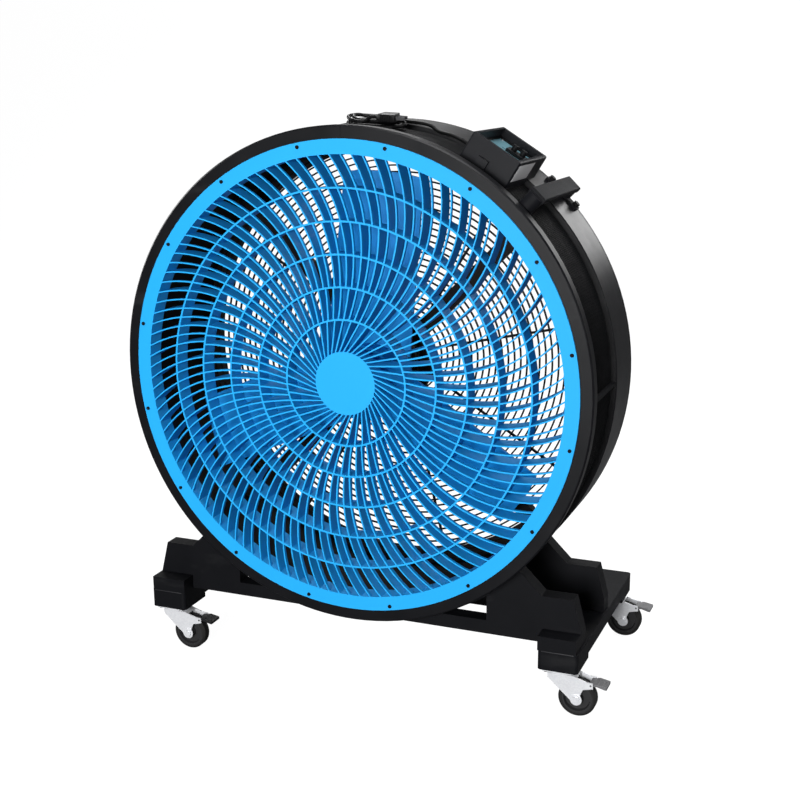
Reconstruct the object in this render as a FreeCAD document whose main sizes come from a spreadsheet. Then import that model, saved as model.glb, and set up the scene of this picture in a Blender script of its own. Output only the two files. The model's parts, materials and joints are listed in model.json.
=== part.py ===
# Industrial drum fan on four braked casters, in millimetres.
# X runs to the right seen from the front, the air leaves towards -Y, Z is up from the floor.
import FreeCAD, Part
import math
import os
import re
import Sketcher

doc = FreeCAD.newDocument("floor_fan")
V = FreeCAD.Vector
sheet = doc.addObject("Spreadsheet::Sheet", "Size")
nodes = []

sizes = {
    # Drum
    "axis_height": 630,
    "drum_radius": 490,
    "waist_radius": 478,
    "shell_wall": 6,
    "rib_height": 1.2,
    "rib_width": 2.6,
    "rib_pitch": 7.2,
    "rib_count": 19,
    "web_thick": 6,
    "web_height": 10,
    "front_face": 240,
    "front_ring_back": 212,
    "rear_ring_front": 58,
    "rear_ring_back": 68,
    "ring_wall": 5,
    "ring_setback": 2.5,
    "ring_chamfer": 3,
    "spigot_length": 16,
    "spigot_wall": 5,
    "seam_width": 3,
    "seam_depth": 1.2,
    "rim_width": 6.5,
    "rim_groove": 2.5,
    "fit_gap": 0.3,
    # Front grille
    "flange_radius": 465,
    "flange_thick": 4,
    "mouth_radius": 440,
    "skirt_wall": 3.5,
    "grille_depth": 40,
    "shallow_depth": 7,
    "grille_hub_radius": 62.5,
    "grille_hub_wall": 3.5,
    "grille_ring_pitch": 62.5,
    "grille_ring_width": 3.5,
    "rib_thick": 3,
    "swirl_inner": 2300,
    "swirl_outer": 0.000115,
    "pairs_hub": 23,
    "pairs_inner": 36,
    "pairs_middle": 50,
    "pairs_outer": 60,
    "screw_circle": 456.7,
    "screw_count": 16,
    "screw_radius": 1.9,
    "screw_head_radius": 3.6,
    "screw_head_height": 2,
    # Rear guard
    "guard_pitch": 13.4,
    "guard_wire": 3.2,
    "guard_thick": 4,
    "guard_rings": 31,
    "guard_struts": 8,
    "guard_strut_width": 5,
    "guard_strut_angle": 12.5,
    "guard_hoop": 9,
    # Motor and its bracket
    "motor_radius": 80,
    "motor_front": 65,
    "motor_back": 14,
    "motor_fin": 4,
    "motor_fin_pitch": 12,
    "cap_length": 13,
    "cap_radius": 72,
    "shaft_radius": 8,
    "shaft_front": 176,
    "bearing_radius": 17.5,
    "bearing_width": 9,
    "run_fit": 0.05,
    "bracket_front": 15,
    "bracket_back": 5,
    "bracket_ring_wall": 12,
    "arm_width": 32,
    "arm_count": 4,
    "arm_angle": 45,
    "foot_length": 60,
    "foot_thick": 6,
    # Fan
    "hub_radius": 58,
    "hub_front": 158,
    "hub_back": 96,
    "hub_wall": 7,
    "boss_radius": 20,
    "blade_radius": 400,
    "blade_middle": 130,
    "blade_chord": 146,
    "blade_thick": 5,
    "blade_root_pitch": 30,
    "blade_tip_pitch": 17,
    "blade_camber": 9,
    "blade_angle": 84,
    "blade_count": 3,
    "nut_radius": 13,
    "nut_height": 10,
    # Control box
    "control_angle": 57.75,
    "control_length": 107,
    "control_front": 180,
    "control_back": 8,
    "control_top": 43,
    "control_drop": 16,
    "control_rim": 8,
    "control_depth": 22,
    "control_corner": 4,
    "panel_thick": 3,
    "module_across": 14.4,
    "module_along": 72,
    "module_length": 42,
    "module_width": 26,
    "module_height": 6,
    "knob_radius": 6,
    "knob_height": 11,
    "knob_spacing": 19,
    "knob_stem": 2.5,
    "tab_width": 22,
    "tab_offset": 9,
    "tab_thick": 7,
    "tab_top": 12,
    # Handle
    "handle_angle": 45.2,
    "handle_width": 35,
    "handle_front": 205,
    "handle_back": 60,
    "handle_top": 32,
    "handle_thick": 14,
    "handle_leg_front": 24,
    "handle_leg_lead": 14,
    "handle_leg_round": 13,
    "handle_leg_back": 30,
    "handle_foot_half": 43,
    "handle_foot_length": 22,
    "handle_foot_thick": 4,
    "handle_bolt_offset": 34.5,
    "handle_bolt_radius": 3,
    "handle_bolt_head": 6.5,
    "handle_bolt_height": 7,
    # Base
    "base_half": 471,
    "foot_width": 80.5,
    "base_depth": 460,
    "foot_top": 134,
    "foot_bottom": 105,
    "block_depth": 85,
    "foot_deck": 10,
    "foot_corner": 8,
    "cradle_front": 192,
    "cradle_thick": 35,
    "cradle_step": 163,
    "cradle_lean": 17,
    "riser_top": 230,
    "riser_flat": 63,
    "beam_top": 162,
    "window_outer": 275,
    "seat_rim": 20,
    "rear_cradle_front": 8,
    "base_bolt_radius": 4,
    "base_bolt_head": 7,
    "base_bolt_height": 6,
    "base_bolt_grip": 31,
    "base_bolt_inset": 6,
    "slope_run": 87,
    "beam_drop": 24,
    "ledge_inset": 4,
    # Casters
    "caster_x": 430,
    "caster_y": 200,
    "caster_height": 95,
    "plate_size": 58,
    "plate_thick": 2.5,
    "race_radius": 20,
    "race_height": 6.7,
    "kingpin_radius": 6,
    "kingpin_head": 9,
    "kingpin_head_height": 3,
    "wheel_radius": 37.5,
    "tyre_width": 24,
    "tyre_depth": 7,
    "wheel_boss": 28.4,
    "wheel_boss_radius": 10,
    "trail": 36,
    "axle_radius": 4,
    "axle_head": 7,
    "axle_head_height": 4,
    "fork_gap": 29,
    "fork_wall": 2.5,
    "crown_thick": 3,
    "crown_front": 22,
    "axle_boss": 10,
    "pivot_x": 64,
    "pivot_z": 71,
    "pivot_radius": 2,
    "pedal_reach": 95,
    "pedal_thick": 4.5,
    "pedal_inner": 27,
    "pedal_outer": 33,
    "caster_screw_radius": 2.5,
    "caster_screw_head": 4.5,
    "caster_screw_height": 2,
    "caster_screw_length": 14,
    "caster_screw_offset": 23,
    # Power cord
    "cord_diameter": 7,
    "hank_turns": 3,
    "hank_layers": 2,
    "hank_run": 52,
    "hank_inner": 16,
    "hank_step": 8,
    "hank_rise": 8,
    "hank_tilt": 8,
    "hank_angle": 87.5,
    "hank_along": 108,
    "hank_seat": 7.8,
    "hank_tail": 40,
    "plug_lift": 11.5,
    "gland_radius": 8,
    "gland_along": 84,
    "gland_down": 6,
    "gland_length": 16,
    "plug_length": 42,
    "plug_width": 28,
    "plug_height": 15,
    "pin_length": 18,
    "pin_width": 6.3,
    "pin_thick": 1.6,
    "pin_spacing": 12.7,
}
for row, (alias, number) in enumerate(sizes.items(), 1):
    sheet.set("A%d" % row, alias)
    sheet.set("B%d" % row, str(number))
    sheet.setAlias("B%d" % row, alias)
doc.recompute()


def rule(text):
    # Names of sizes become references to the sheet.
    return re.sub(r"[a-z][a-z0-9_]*", lambda word: "Size." + word.group() if word.group() in sizes
                  else word.group(), text)


def value(text):
    found = sheet.evalExpression(rule(text))
    return float(getattr(found, "Value", found))


def place(piece, base=("0", "0", "0"), turn=None):
    # turn is a rotation about Y in degrees; base and turn follow the sheet.
    if turn is not None:
        piece.Placement = FreeCAD.Placement(V(0, 0, 0), FreeCAD.Rotation(V(0, 1, 0), 10))
        piece.setExpression("Placement.Rotation.Angle", rule(turn))
    for axis, text in zip("xyz", base):
        piece.setExpression("Placement.Base." + axis, rule(text))


def new_body(label, base=("0", "0", "0"), turn=None, keep=True):
    body = doc.addObject("PartDesign::Body", label)
    body.Label = label
    place(body, base, turn)
    if keep:
        nodes.append(body)
    return body


def own_shape(label, shape, base=("0", "0", "0"), turn=None, placement=None):
    piece = doc.addObject("Part::Feature", label)
    piece.Label = label
    piece.Shape = shape
    if placement is None:
        place(piece, base, turn)
    else:
        piece.Placement = placement
    nodes.append(piece)
    return piece


def origin(body, role):
    return [item for item in body.Origin.OriginFeatures if item.Role == role][0]


def new_sketch(body, plane, shift="0"):
    sketch = body.newObject("Sketcher::SketchObject", body.Name + "_sketch")
    sketch.AttachmentSupport = [(origin(body, plane), "")]
    sketch.MapMode = "FlatFace"
    sketch.setExpression("AttachmentOffset.Base.z", rule(shift))
    return sketch


def fix_point(sketch, geometry, point, across, up):
    for kind, text in (("DistanceX", across), ("DistanceY", up)):
        index = sketch.addConstraint(Sketcher.Constraint(kind, geometry, point, value(text)))
        sketch.setExpression("Constraints[%d]" % index, rule(text))


def polygon(sketch, corners):
    first = sketch.GeometryCount
    spots = [V(value(across), value(up), 0) for across, up in corners]
    total = len(spots)
    lines = [Part.LineSegment(spots[i], spots[(i + 1) % total]) for i in range(total)]
    sketch.addGeometry(lines, False)
    joins = [Sketcher.Constraint("Coincident", first + i, 2, first + (i + 1) % total, 1)
             for i in range(total)]
    sketch.addConstraint(joins)
    for i, (across, up) in enumerate(corners):
        fix_point(sketch, first + i, 1, across, up)


def rectangle(sketch, left, right, low, high):
    polygon(sketch, [(left, low), (right, low), (right, high), (left, high)])


def circle(sketch, across, up, radius):
    index = sketch.addGeometry(Part.Circle(V(value(across), value(up), 0), V(0, 0, 1), value(radius)),
                               False)
    fix_point(sketch, index, 3, across, up)
    number = sketch.addConstraint(Sketcher.Constraint("Radius", index, value(radius)))
    sketch.setExpression("Constraints[%d]" % number, rule(radius))


def prism(body, plane, start, end, draw, cut=False):
    # Grows or cuts from start to end along the plane's own axis (XZ sketches look along -Y).
    sign = -1 if plane == "XZ_Plane" else 1
    sketch = new_sketch(body, plane, "(%s) * %d" % (start, sign))
    draw(sketch)
    feature = body.newObject("PartDesign::Pocket" if cut else "PartDesign::Pad", body.Name + "_prism")
    feature.Profile = sketch
    feature.Reversed = (sign < 0) != cut
    feature.setExpression("Length", rule("(%s) - (%s)" % (end, start)))
    sketch.Visibility = False
    body.Tip = feature
    return feature


def turned(body, corners, plane="YZ_Plane", axis="H_Axis", cut=False):
    # Corners are pairs along and away from the axis of the turned piece.
    sketch = new_sketch(body, plane)
    polygon(sketch, corners)
    feature = body.newObject("PartDesign::Groove" if cut else "PartDesign::Revolution",
                             body.Name + "_turn")
    feature.Profile = sketch
    feature.ReferenceAxis = (sketch, [axis])
    feature.Angle = 360
    body.Tip = feature
    return feature


def around(body, feature, count, role="Y_Axis"):
    pattern = body.newObject("PartDesign::PolarPattern", body.Name + "_pattern")
    pattern.Originals = [feature]
    pattern.Axis = (origin(body, role), [""])
    pattern.Angle = 360
    pattern.setExpression("Occurrences", rule(count))
    body.Tip = pattern
    return pattern


def rounded(body, radius, choose):
    doc.recompute()
    base = body.Tip
    edges = ["Edge%d" % (i + 1) for i, edge in enumerate(base.Shape.Edges) if choose(edge)]
    fillet = body.newObject("PartDesign::Fillet", body.Name + "_fillet")
    fillet.Base = (base, edges)
    fillet.setExpression("Radius", rule(radius))
    body.Tip = fillet
    return fillet


def along(edge, axis):
    # True for a straight edge that runs along the axis.
    if edge.Curve.TypeId != "Part::GeomLine":
        return False
    run = edge.Vertexes[-1].Point - edge.Vertexes[0].Point
    return abs(run.normalize().dot(axis)) > 0.999


drum_axis = ("0", "0", "axis_height")
shell_bore = "(waist_radius - shell_wall)"
seat_radius = "(waist_radius + rib_height + fit_gap)"

# Drum shell: a tube with fine ribs round its waist and a web on each side.
shell = new_body("drum_shell", drum_axis)
tube_front = "-(front_face - flange_thick - ring_wall)"
tube_back = "(rear_ring_back - ring_wall)"
profile = [(tube_front, shell_bore), (tube_back, shell_bore), (tube_back, "waist_radius")]
for i in range(int(sizes["rib_count"])):
    edge = "-(rear_ring_front + 5 + %d * rib_pitch)" % i
    profile.append((edge, "waist_radius"))
    profile.append((edge, "waist_radius + rib_height"))
    profile.append((edge + " - rib_width", "waist_radius + rib_height"))
    profile.append((edge + " - rib_width", "waist_radius"))
profile.append((tube_front, "waist_radius"))
turned(shell, profile)
web = prism(shell, "XY_Plane", "-web_thick / 2", "web_thick / 2", lambda sketch: rectangle(
    sketch, "waist_radius - 1", "waist_radius + web_height",
    "-(front_ring_back - fit_gap)", "-(rear_ring_front + fit_gap)"))
around(shell, web, "2")

# Front ring: a channel open to the back, with a spigot in the shell's mouth.
ring_front = "-(front_face - ring_setback)"
seat_front = "-(front_face - flange_thick)"
ring_inside = "-(front_face - flange_thick - ring_wall)"
front_ring = new_body("front_ring", drum_axis)
turned(front_ring, [
    (seat_front, "mouth_radius + 0.5"), (seat_front, "flange_radius + 1"),
    (ring_front, "flange_radius + 1"), (ring_front, "drum_radius - ring_chamfer"),
    (ring_front + " + ring_chamfer", "drum_radius"), ("-front_ring_back - 1", "drum_radius"),
    ("-front_ring_back", "drum_radius - 1"), ("-front_ring_back", "drum_radius - ring_wall"),
    (ring_inside, "drum_radius - ring_wall"), (ring_inside, shell_bore + " - run_fit"),
    (ring_inside + " + spigot_length", shell_bore + " - run_fit"),
    (ring_inside + " + spigot_length", shell_bore + " - spigot_wall"),
    (ring_inside, shell_bore + " - spigot_wall"), (ring_inside, "mouth_radius + 0.5")])
prism(front_ring, "XZ_Plane", ring_front, ring_front + " + seam_depth", lambda sketch: rectangle(
    sketch, "-seam_width / 2", "seam_width / 2", "flange_radius", "drum_radius + 2"), cut=True)
hole = prism(front_ring, "XZ_Plane", seat_front, seat_front + " + ring_wall - 0.5", lambda sketch: circle(
    sketch, "screw_circle * cos(180 deg / screw_count)", "screw_circle * sin(180 deg / screw_count)",
    "screw_radius + run_fit"), cut=True)
around(front_ring, hole, "screw_count")

# Rear ring: a wide band closed by a front and a rear wall, with a groove before its rim.
rear_ring = new_body("rear_ring", drum_axis)
sleeve = "waist_radius + run_fit"
rim_start = "(rear_ring_back - rim_width)"
turned(rear_ring, [
    ("-rear_ring_front", sleeve), ("-rear_ring_front", "drum_radius - 2"),
    ("-rear_ring_front + 2", "drum_radius"), (rim_start + " - rim_groove", "drum_radius"),
    (rim_start + " - rim_groove", "drum_radius - 2"), (rim_start, "drum_radius - 2"),
    (rim_start, "drum_radius"), ("rear_ring_back - 1.5", "drum_radius"),
    ("rear_ring_back", "drum_radius - 1.5"), ("rear_ring_back", "mouth_radius"),
    (tube_back, "mouth_radius"), (tube_back, "drum_radius - ring_wall"),
    ("-rear_ring_front + ring_wall", "drum_radius - ring_wall"), ("-rear_ring_front + ring_wall", sleeve)])


# Front grille: swirling deep ribs with a shallow rib between each two, crossed by rings.
def spot(radius, angle, y=0.0):
    return V(radius * math.cos(angle), y, radius * math.sin(angle))


def swirl(radius):
    return math.radians(sizes["swirl_inner"] / radius + sizes["swirl_outer"] * radius * radius)


def rib_side(inner, outer, angle, offset):
    stops = (inner, 0.5 * (inner + outer), outer)
    return Part.Arc(*[spot(r, angle + swirl(r) + offset / r) for r in stops]).toShape()


def rim_arc(radius, start, end):
    return Part.Arc(*[spot(radius, a) for a in (start, 0.5 * (start + end), end)]).toShape()


def moved(edge, y):
    edge = edge.copy()
    edge.translate(V(0, y, 0))
    return edge


def loop(edges):
    return Part.Wire(Part.__sortEdges__(edges))


def hoop(radius, y):
    return Part.Wire(Part.makeCircle(radius, V(0, y, 0), V(0, 1, 0)))


def flat(wires):
    # The first wire is the outline; round holes run the other way.
    holes = []
    for wire in wires[1:]:
        wire = wire.copy()
        if len(wire.Edges) == 1:
            wire.reverse()
        holes.append(wire)
    return Part.Face([wires[0]] + holes)


def wall(wire, depth):
    return [edge.extrude(V(0, depth, 0)) for edge in wire.Edges]


def swirl_cells(inner, outer, pairs):
    # One round of double cells: their openings in front and behind, and the walls between.
    front, back, walls = [], [], []
    half = sizes["rib_thick"] / 2
    depth = sizes["grille_depth"]
    shallow = sizes["shallow_depth"]
    step = 2 * math.pi / pairs
    for k in range(pairs):
        first, middle, last = k * step, (k + 0.5) * step, (k + 1) * step
        deep = [rib_side(inner, outer, first, half), rib_side(inner, outer, last, -half)]
        thin = [rib_side(inner, outer, middle, -half), rib_side(inner, outer, middle, half)]
        rims = []
        for r in (inner, outer):
            stops = [first + half / r, middle - half / r, middle + half / r, last - half / r]
            stops = [a + swirl(r) for a in stops]
            rims.append([rim_arc(r, stops[i], stops[i + 1]) for i in range(3)])
        low, high = rims
        front.append(loop([deep[0], high[0], thin[0], low[0]]))
        front.append(loop([thin[1], high[2], deep[1], low[2]]))
        back.append(loop([moved(edge, depth) for edge in deep + low + high]))
        for edge in deep + [low[0], low[2], high[0], high[2]]:
            walls.append(edge.extrude(V(0, depth, 0)))
        for edge in thin:
            walls.append(edge.extrude(V(0, shallow, 0)))
        for edge in (low[1], high[1]):
            walls.append(moved(edge, shallow).extrude(V(0, depth - shallow, 0)))
        walls.append(Part.Face(loop([moved(edge, shallow) for edge in thin + [low[1], high[1]]])))
    return front, back, walls


def swirl_grille():
    hub = sizes["grille_hub_radius"]
    pitch = sizes["grille_ring_pitch"]
    half = sizes["grille_ring_width"] / 2
    depth = sizes["grille_depth"]
    thick = sizes["flange_thick"]
    mouth = sizes["mouth_radius"]
    edge = sizes["flange_radius"]
    hollow = hub - sizes["grille_hub_wall"]
    counts = [sizes["pairs_hub"], sizes["pairs_inner"], sizes["pairs_middle"], sizes["pairs_middle"],
              sizes["pairs_outer"], sizes["pairs_outer"]]
    front, back, walls = [], [], []
    for i, pairs in enumerate(counts):
        inner = hub + i * pitch + (half if i else 0)
        outer = hub + (i + 1) * pitch - half
        if i == len(counts) - 1:
            outer = mouth - sizes["skirt_wall"]
        found = swirl_cells(inner, outer, int(pairs))
        front += found[0]
        back += found[1]
        walls += found[2]
    count = int(sizes["screw_count"])
    bore = sizes["screw_radius"] + sizes["run_fit"]
    spots = [spot(sizes["screw_circle"], 2 * math.pi * (i + 0.5) / count) for i in range(count)]
    holes = [Part.Wire(Part.makeCircle(bore, place_at, V(0, 1, 0))) for place_at in spots]
    holes_back = [moved(wire, thick) for wire in holes]
    faces = [flat([hoop(edge, 0)] + front + holes)]
    faces.append(flat([hoop(mouth, depth)] + back + [hoop(hollow, depth)]))
    faces.append(flat([hoop(edge, thick), hoop(mouth, thick)] + holes_back))
    faces.append(flat([hoop(hollow, thick)]))
    faces += wall(hoop(edge, 0), thick)
    faces += wall(hoop(mouth, thick), depth - thick)
    faces += wall(hoop(hollow, thick), depth - thick)
    for wire in holes:
        faces += wall(wire, thick)
    skin = Part.makeCompound(faces + walls)
    skin.sewShape()
    solid = Part.Solid(skin.Shells[0])
    if solid.Volume < 0:
        solid.reverse()
    return solid


own_shape("front_grille", swirl_grille(), ("0", "-front_face", "axis_height"))


def screw_ring(circle_radius, count, start, shank, shank_length, head, head_height):
    # Screws that point along +Y, their heads in front of y = start.
    screws = []
    for i in range(count):
        at = spot(circle_radius, 2 * math.pi * (i + 0.5) / count, start)
        body = Part.makeCylinder(shank, shank_length, at, V(0, 1, 0))
        cap = Part.makeCylinder(head, head_height, at - V(0, head_height, 0), V(0, 1, 0))
        screws.append(body.fuse(cap).removeSplitter())
    return Part.makeCompound(screws)


own_shape("grille_screws", screw_ring(
    sizes["screw_circle"], int(sizes["screw_count"]), -sizes["front_face"], sizes["screw_radius"],
    sizes["flange_thick"] + sizes["ring_wall"] - 1, sizes["screw_head_radius"],
    sizes["screw_head_height"]), drum_axis)


# Rear guard: round wires and radial struts, welded into one flat net.
def guard_net():
    hoop_out = value(shell_bore) - sizes["fit_gap"]
    strut = sizes["guard_strut_width"] / 2
    wire = sizes["guard_wire"] / 2
    count = int(sizes["guard_struts"])
    radii = [hoop_out - sizes["guard_hoop"] - i * sizes["guard_pitch"]
             for i in range(int(sizes["guard_rings"]))]
    cells = []
    for outer, inner in zip(radii[:-1], radii[1:]):
        high = outer - (wire if outer != radii[0] else 0)
        low = inner + wire
        for k in range(count):
            first = math.radians(sizes["guard_strut_angle"]) + 2 * math.pi * k / count
            last = first + 2 * math.pi / count
            arcs = [rim_arc(r, first + strut / r, last - strut / r) for r in (low, high)]
            sides = [Part.makeLine(spot(low, first + strut / low), spot(high, first + strut / high)),
                     Part.makeLine(spot(low, last - strut / low), spot(high, last - strut / high))]
            cells.append(loop([sides[0], arcs[1], sides[1], arcs[0]]))
    eye = hoop(radii[-1] - wire, 0)
    return flat([hoop(hoop_out, 0)] + cells + [eye]).extrude(V(0, sizes["guard_thick"], 0))


own_shape("rear_guard", guard_net(), ("0", tube_back + " - guard_thick", "axis_height"))

# Motor bracket: a ring round the motor, four arms and a foot at each end on the shell.
bracket = new_body("motor_bracket", drum_axis)
ring_outer = "(motor_radius + run_fit + bracket_ring_wall)"
prism(bracket, "XZ_Plane", "-bracket_front", "bracket_back", lambda sketch: (
    circle(sketch, "0", "0", "motor_radius + run_fit"), circle(sketch, "0", "0", ring_outer)))
arm_end = "(" + shell_bore + " - fit_gap - foot_thick - 1)"
tilt = "cos(arm_angle * 1 deg)"
lift = "sin(arm_angle * 1 deg)"


def turned_spot(reach, across):
    # A point out along the arm and across it, in the sketch of the bracket.
    return ("(%s) * %s - (%s) * %s" % (reach, tilt, across, lift),
            "(%s) * %s + (%s) * %s" % (reach, lift, across, tilt))


def arm_outline(start, end, width):
    return [turned_spot(start, "-(%s)" % width), turned_spot(end, "-(%s)" % width),
            turned_spot(end, width), turned_spot(start, width)]


arm = prism(bracket, "XZ_Plane", "-bracket_front", "bracket_back", lambda sketch: polygon(
    sketch, arm_outline(ring_outer + " - 4", arm_end, "arm_width / 2")))
around(bracket, arm, "arm_count")
foot = prism(bracket, "XZ_Plane", "-(bracket_front + foot_length) / 2", "foot_length / 2",
             lambda sketch: polygon(sketch, arm_outline(
                 arm_end + " - 1", arm_end + " + foot_thick", "arm_width / 2 + 4")))
around(bracket, foot, "arm_count")

# Motor: finned housing with an end cap and a bearing at each end.
motor = new_body("motor_housing", drum_axis)
turned(motor, [("-motor_front", "shaft_radius + 2"), ("motor_back", "shaft_radius + 2"),
               ("motor_back", "motor_radius - 3"), ("motor_back - 3", "motor_radius"),
               ("-motor_front + 3", "motor_radius"), ("-motor_front", "motor_radius - 3")])
for i in range(3):
    near = "-bracket_front - 8 - %d * motor_fin_pitch" % i
    turned(motor, [(near, "motor_radius - motor_fin"), (near, "motor_radius + 1"),
                   (near + " + motor_fin", "motor_radius + 1"),
                   (near + " + motor_fin", "motor_radius - motor_fin")], cut=True)


def end_cap(label, face, side, bearing_label):
    # The cap's bearing sits in a seat that opens to the motor.
    inside = face + " + %d * run_fit" % side
    outside = face + " + %d * cap_length" % side
    seat = face + " + %d * (bearing_width + run_fit)" % side
    cap = new_body(label, drum_axis)
    turned(cap, [(inside, "bearing_radius + run_fit"), (inside, "cap_radius"),
                 (face + " + %d * (cap_length - 4)" % side, "cap_radius"),
                 (outside, "cap_radius - 10"), (outside, "shaft_radius + 2"),
                 (seat, "shaft_radius + 2"), (seat, "bearing_radius + run_fit")])
    bearing = new_body(bearing_label, drum_axis)
    turned(bearing, [(inside, "shaft_radius + run_fit"), (inside, "bearing_radius"),
                     (face + " + %d * bearing_width" % side, "bearing_radius"),
                     (face + " + %d * bearing_width" % side, "shaft_radius + run_fit")])


end_cap("motor_front_cap", "-motor_front", -1, "front_bearing")
end_cap("motor_rear_cap", "motor_back", 1, "rear_bearing")

# Fan: shaft, cupped hub, three pitched blades and a lock nut.
shaft = new_body("motor_shaft", drum_axis)
turned(shaft, [("-shaft_front", "0"), ("-shaft_front", "shaft_radius - 1.5"),
               ("-shaft_front + 1.5", "shaft_radius"), ("motor_back + bearing_width", "shaft_radius"),
               ("motor_back + bearing_width", "0")])
hub = new_body("fan_hub", drum_axis)
turned(hub, [("-hub_front", "shaft_radius + run_fit"), ("-hub_front", "hub_radius - 6"),
             ("-hub_front + 6", "hub_radius"), ("-hub_back", "hub_radius"),
             ("-hub_back", "hub_radius - hub_wall"), ("-hub_front + hub_wall", "hub_radius - hub_wall"),
             ("-hub_front + hub_wall", "boss_radius"), ("-hub_back", "boss_radius"),
             ("-hub_back", "shaft_radius + run_fit")])
nut = new_body("hub_nut", drum_axis)
prism(nut, "XZ_Plane", "-(hub_front + nut_height)", "-hub_front", lambda sketch: (
    polygon(sketch, [("nut_radius * cos(%d deg)" % a, "nut_radius * sin(%d deg)" % a)
                     for a in range(0, 360, 60)]),
    circle(sketch, "0", "0", "shaft_radius + run_fit")))


def blade_section(reach, pitch):
    # A cambered strip in the plane square to the blade's length.
    chord = sizes["blade_chord"] / 2
    angle = math.radians(pitch)
    half = sizes["blade_thick"] / 2
    rise = sizes["blade_camber"]

    def at(across, up):
        slope = across * math.tan(angle)
        return V(reach, slope + up - sizes["blade_middle"], -across)

    front = Part.Arc(at(-chord, -half), at(0, rise - half), at(chord, -half)).toShape()
    back = Part.Arc(at(-chord, half), at(0, rise + half), at(chord, half)).toShape()
    left = Part.makeLine(at(-chord, -half), at(-chord, half))
    right = Part.makeLine(at(chord, -half), at(chord, half))
    return loop([front, right, back, left])


def blade_shape():
    root = sizes["hub_radius"] * 0.6
    tip = sizes["blade_radius"] + 12
    stops = [0.0, 0.33, 0.66, 1.0]
    sections = []
    for share in stops:
        pitch = sizes["blade_root_pitch"] + (sizes["blade_tip_pitch"] - sizes["blade_root_pitch"]) * share
        sections.append(blade_section(root + (tip - root) * share, pitch))
    blade = Part.makeLoft(sections, True, False)
    start = V(0, -3 * sizes["blade_middle"], 0)
    length = 6 * sizes["blade_middle"]
    outer = Part.makeCylinder(sizes["blade_radius"], length, start, V(0, 1, 0))
    inner = Part.makeCylinder(sizes["hub_radius"], length, start, V(0, 1, 0))
    return blade.common(outer.cut(inner)).removeSplitter()


blade = blade_shape()
for i in range(int(sizes["blade_count"])):
    turn_blade = blade.copy()
    spin = sizes["blade_angle"] + 360.0 * i / sizes["blade_count"]
    turn_blade.rotate(V(0, 0, 0), V(0, 1, 0), -spin)
    pieces = turn_blade.Solids
    own_shape("blade_%d" % (i + 1), max(pieces, key=lambda item: item.Volume), drum_axis)


# Control box: an open tray saddled on the rear ring, with its panel, module and two knobs.
def on_drum(angle):
    return ("drum_radius * cos(%s * 1 deg)" % angle, "0",
            "axis_height + drum_radius * sin(%s * 1 deg)" % angle)


control_base = on_drum("control_angle")
control_turn = "90 - control_angle"
housing = new_body("control_housing", control_base, control_turn)
prism(housing, "XZ_Plane", "-control_front", "-control_back", lambda sketch: rectangle(
    sketch, "-control_length / 2", "control_length / 2", "-control_drop", "control_top"))
rounded(housing, "control_corner", lambda edge: (
    along(edge, V(0, 1, 0)) and edge.BoundBox.ZMax > 0) or (
    along(edge, V(0, 0, 1))))
prism(housing, "XZ_Plane", "-(rear_ring_front + fit_gap)", "-control_back + 1", lambda sketch: circle(
    sketch, "0", "-drum_radius", "drum_radius + fit_gap"), cut=True)
prism(housing, "XZ_Plane", "-control_front - 1", "-(rear_ring_front + fit_gap)", lambda sketch: circle(
    sketch, "0", "-drum_radius", seat_radius), cut=True)
tray_floor = "(control_top - control_depth)"
tray_half = "(control_length / 2 - control_rim)"
prism(housing, "XY_Plane", tray_floor, "control_top + 1", lambda sketch: rectangle(
    sketch, "-" + tray_half, tray_half, "-(control_front - control_rim)", "-(control_back + control_rim)"),
    cut=True)
panel = new_body("control_panel", control_base, control_turn)
panel_top = "(control_top - control_depth + panel_thick)"
prism(panel, "XY_Plane", tray_floor, panel_top, lambda sketch: rectangle(
    sketch, "-" + tray_half + " + fit_gap", tray_half + " - fit_gap",
    "-(control_front - control_rim - fit_gap)", "-(control_back + control_rim + fit_gap)"))
module = new_body("control_module", control_base, control_turn)
module_top = "(control_top - control_depth + panel_thick + module_height)"
prism(module, "XY_Plane", panel_top, module_top, lambda sketch: rectangle(
    sketch, "module_across - module_length / 2", "module_across + module_length / 2",
    "-module_along - module_width / 2", "-module_along + module_width / 2"))
knob_spots = ["(module_across - knob_spacing / 2)", "(module_across + knob_spacing / 2)"]
for spot_across in knob_spots:
    prism(module, "XY_Plane", module_top, module_top + " + knob_height / 2", lambda sketch: circle(
        sketch, spot_across, "-module_along", "knob_stem"))
for label, spot_across in zip(("speed_knob", "timer_knob"), knob_spots):
    knob = new_body(label, control_base, control_turn)
    prism(knob, "XY_Plane", module_top + " + fit_gap", module_top + " + fit_gap + knob_height",
          lambda sketch: circle(sketch, spot_across, "-module_along", "knob_radius"))
    prism(knob, "XY_Plane", module_top, module_top + " + knob_height / 2 + fit_gap", lambda sketch: circle(
        sketch, spot_across, "-module_along", "knob_stem + run_fit"), cut=True)
    prism(knob, "XY_Plane", module_top + " + knob_height - 1", module_top + " + knob_height + 1",
          lambda sketch: rectangle(sketch, spot_across + " - 0.8", spot_across + " + 0.8",
                                   "-module_along", "-module_along + knob_radius + 1"), cut=True)
tab = new_body("control_bracket", control_base, control_turn)
prism(tab, "XZ_Plane", "-(control_front + tab_thick)", "-control_front", lambda sketch: rectangle(
    sketch, "-tab_offset - tab_width / 2", "-tab_offset + tab_width / 2",
    "-(drum_radius - waist_radius - rib_height) + fit_gap", "tab_top"))
gland = new_body("cord_gland", control_base, control_turn)
gland_face = "-control_length / 2"
prism(gland, "YZ_Plane", gland_face + " - 5", gland_face, lambda sketch: circle(
    sketch, "-gland_along", "-gland_down", "gland_radius"))
prism(gland, "YZ_Plane", gland_face + " - gland_length", gland_face + " - 5", lambda sketch: circle(
    sketch, "-gland_along", "-gland_down", "gland_radius * 0.7"))

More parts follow.
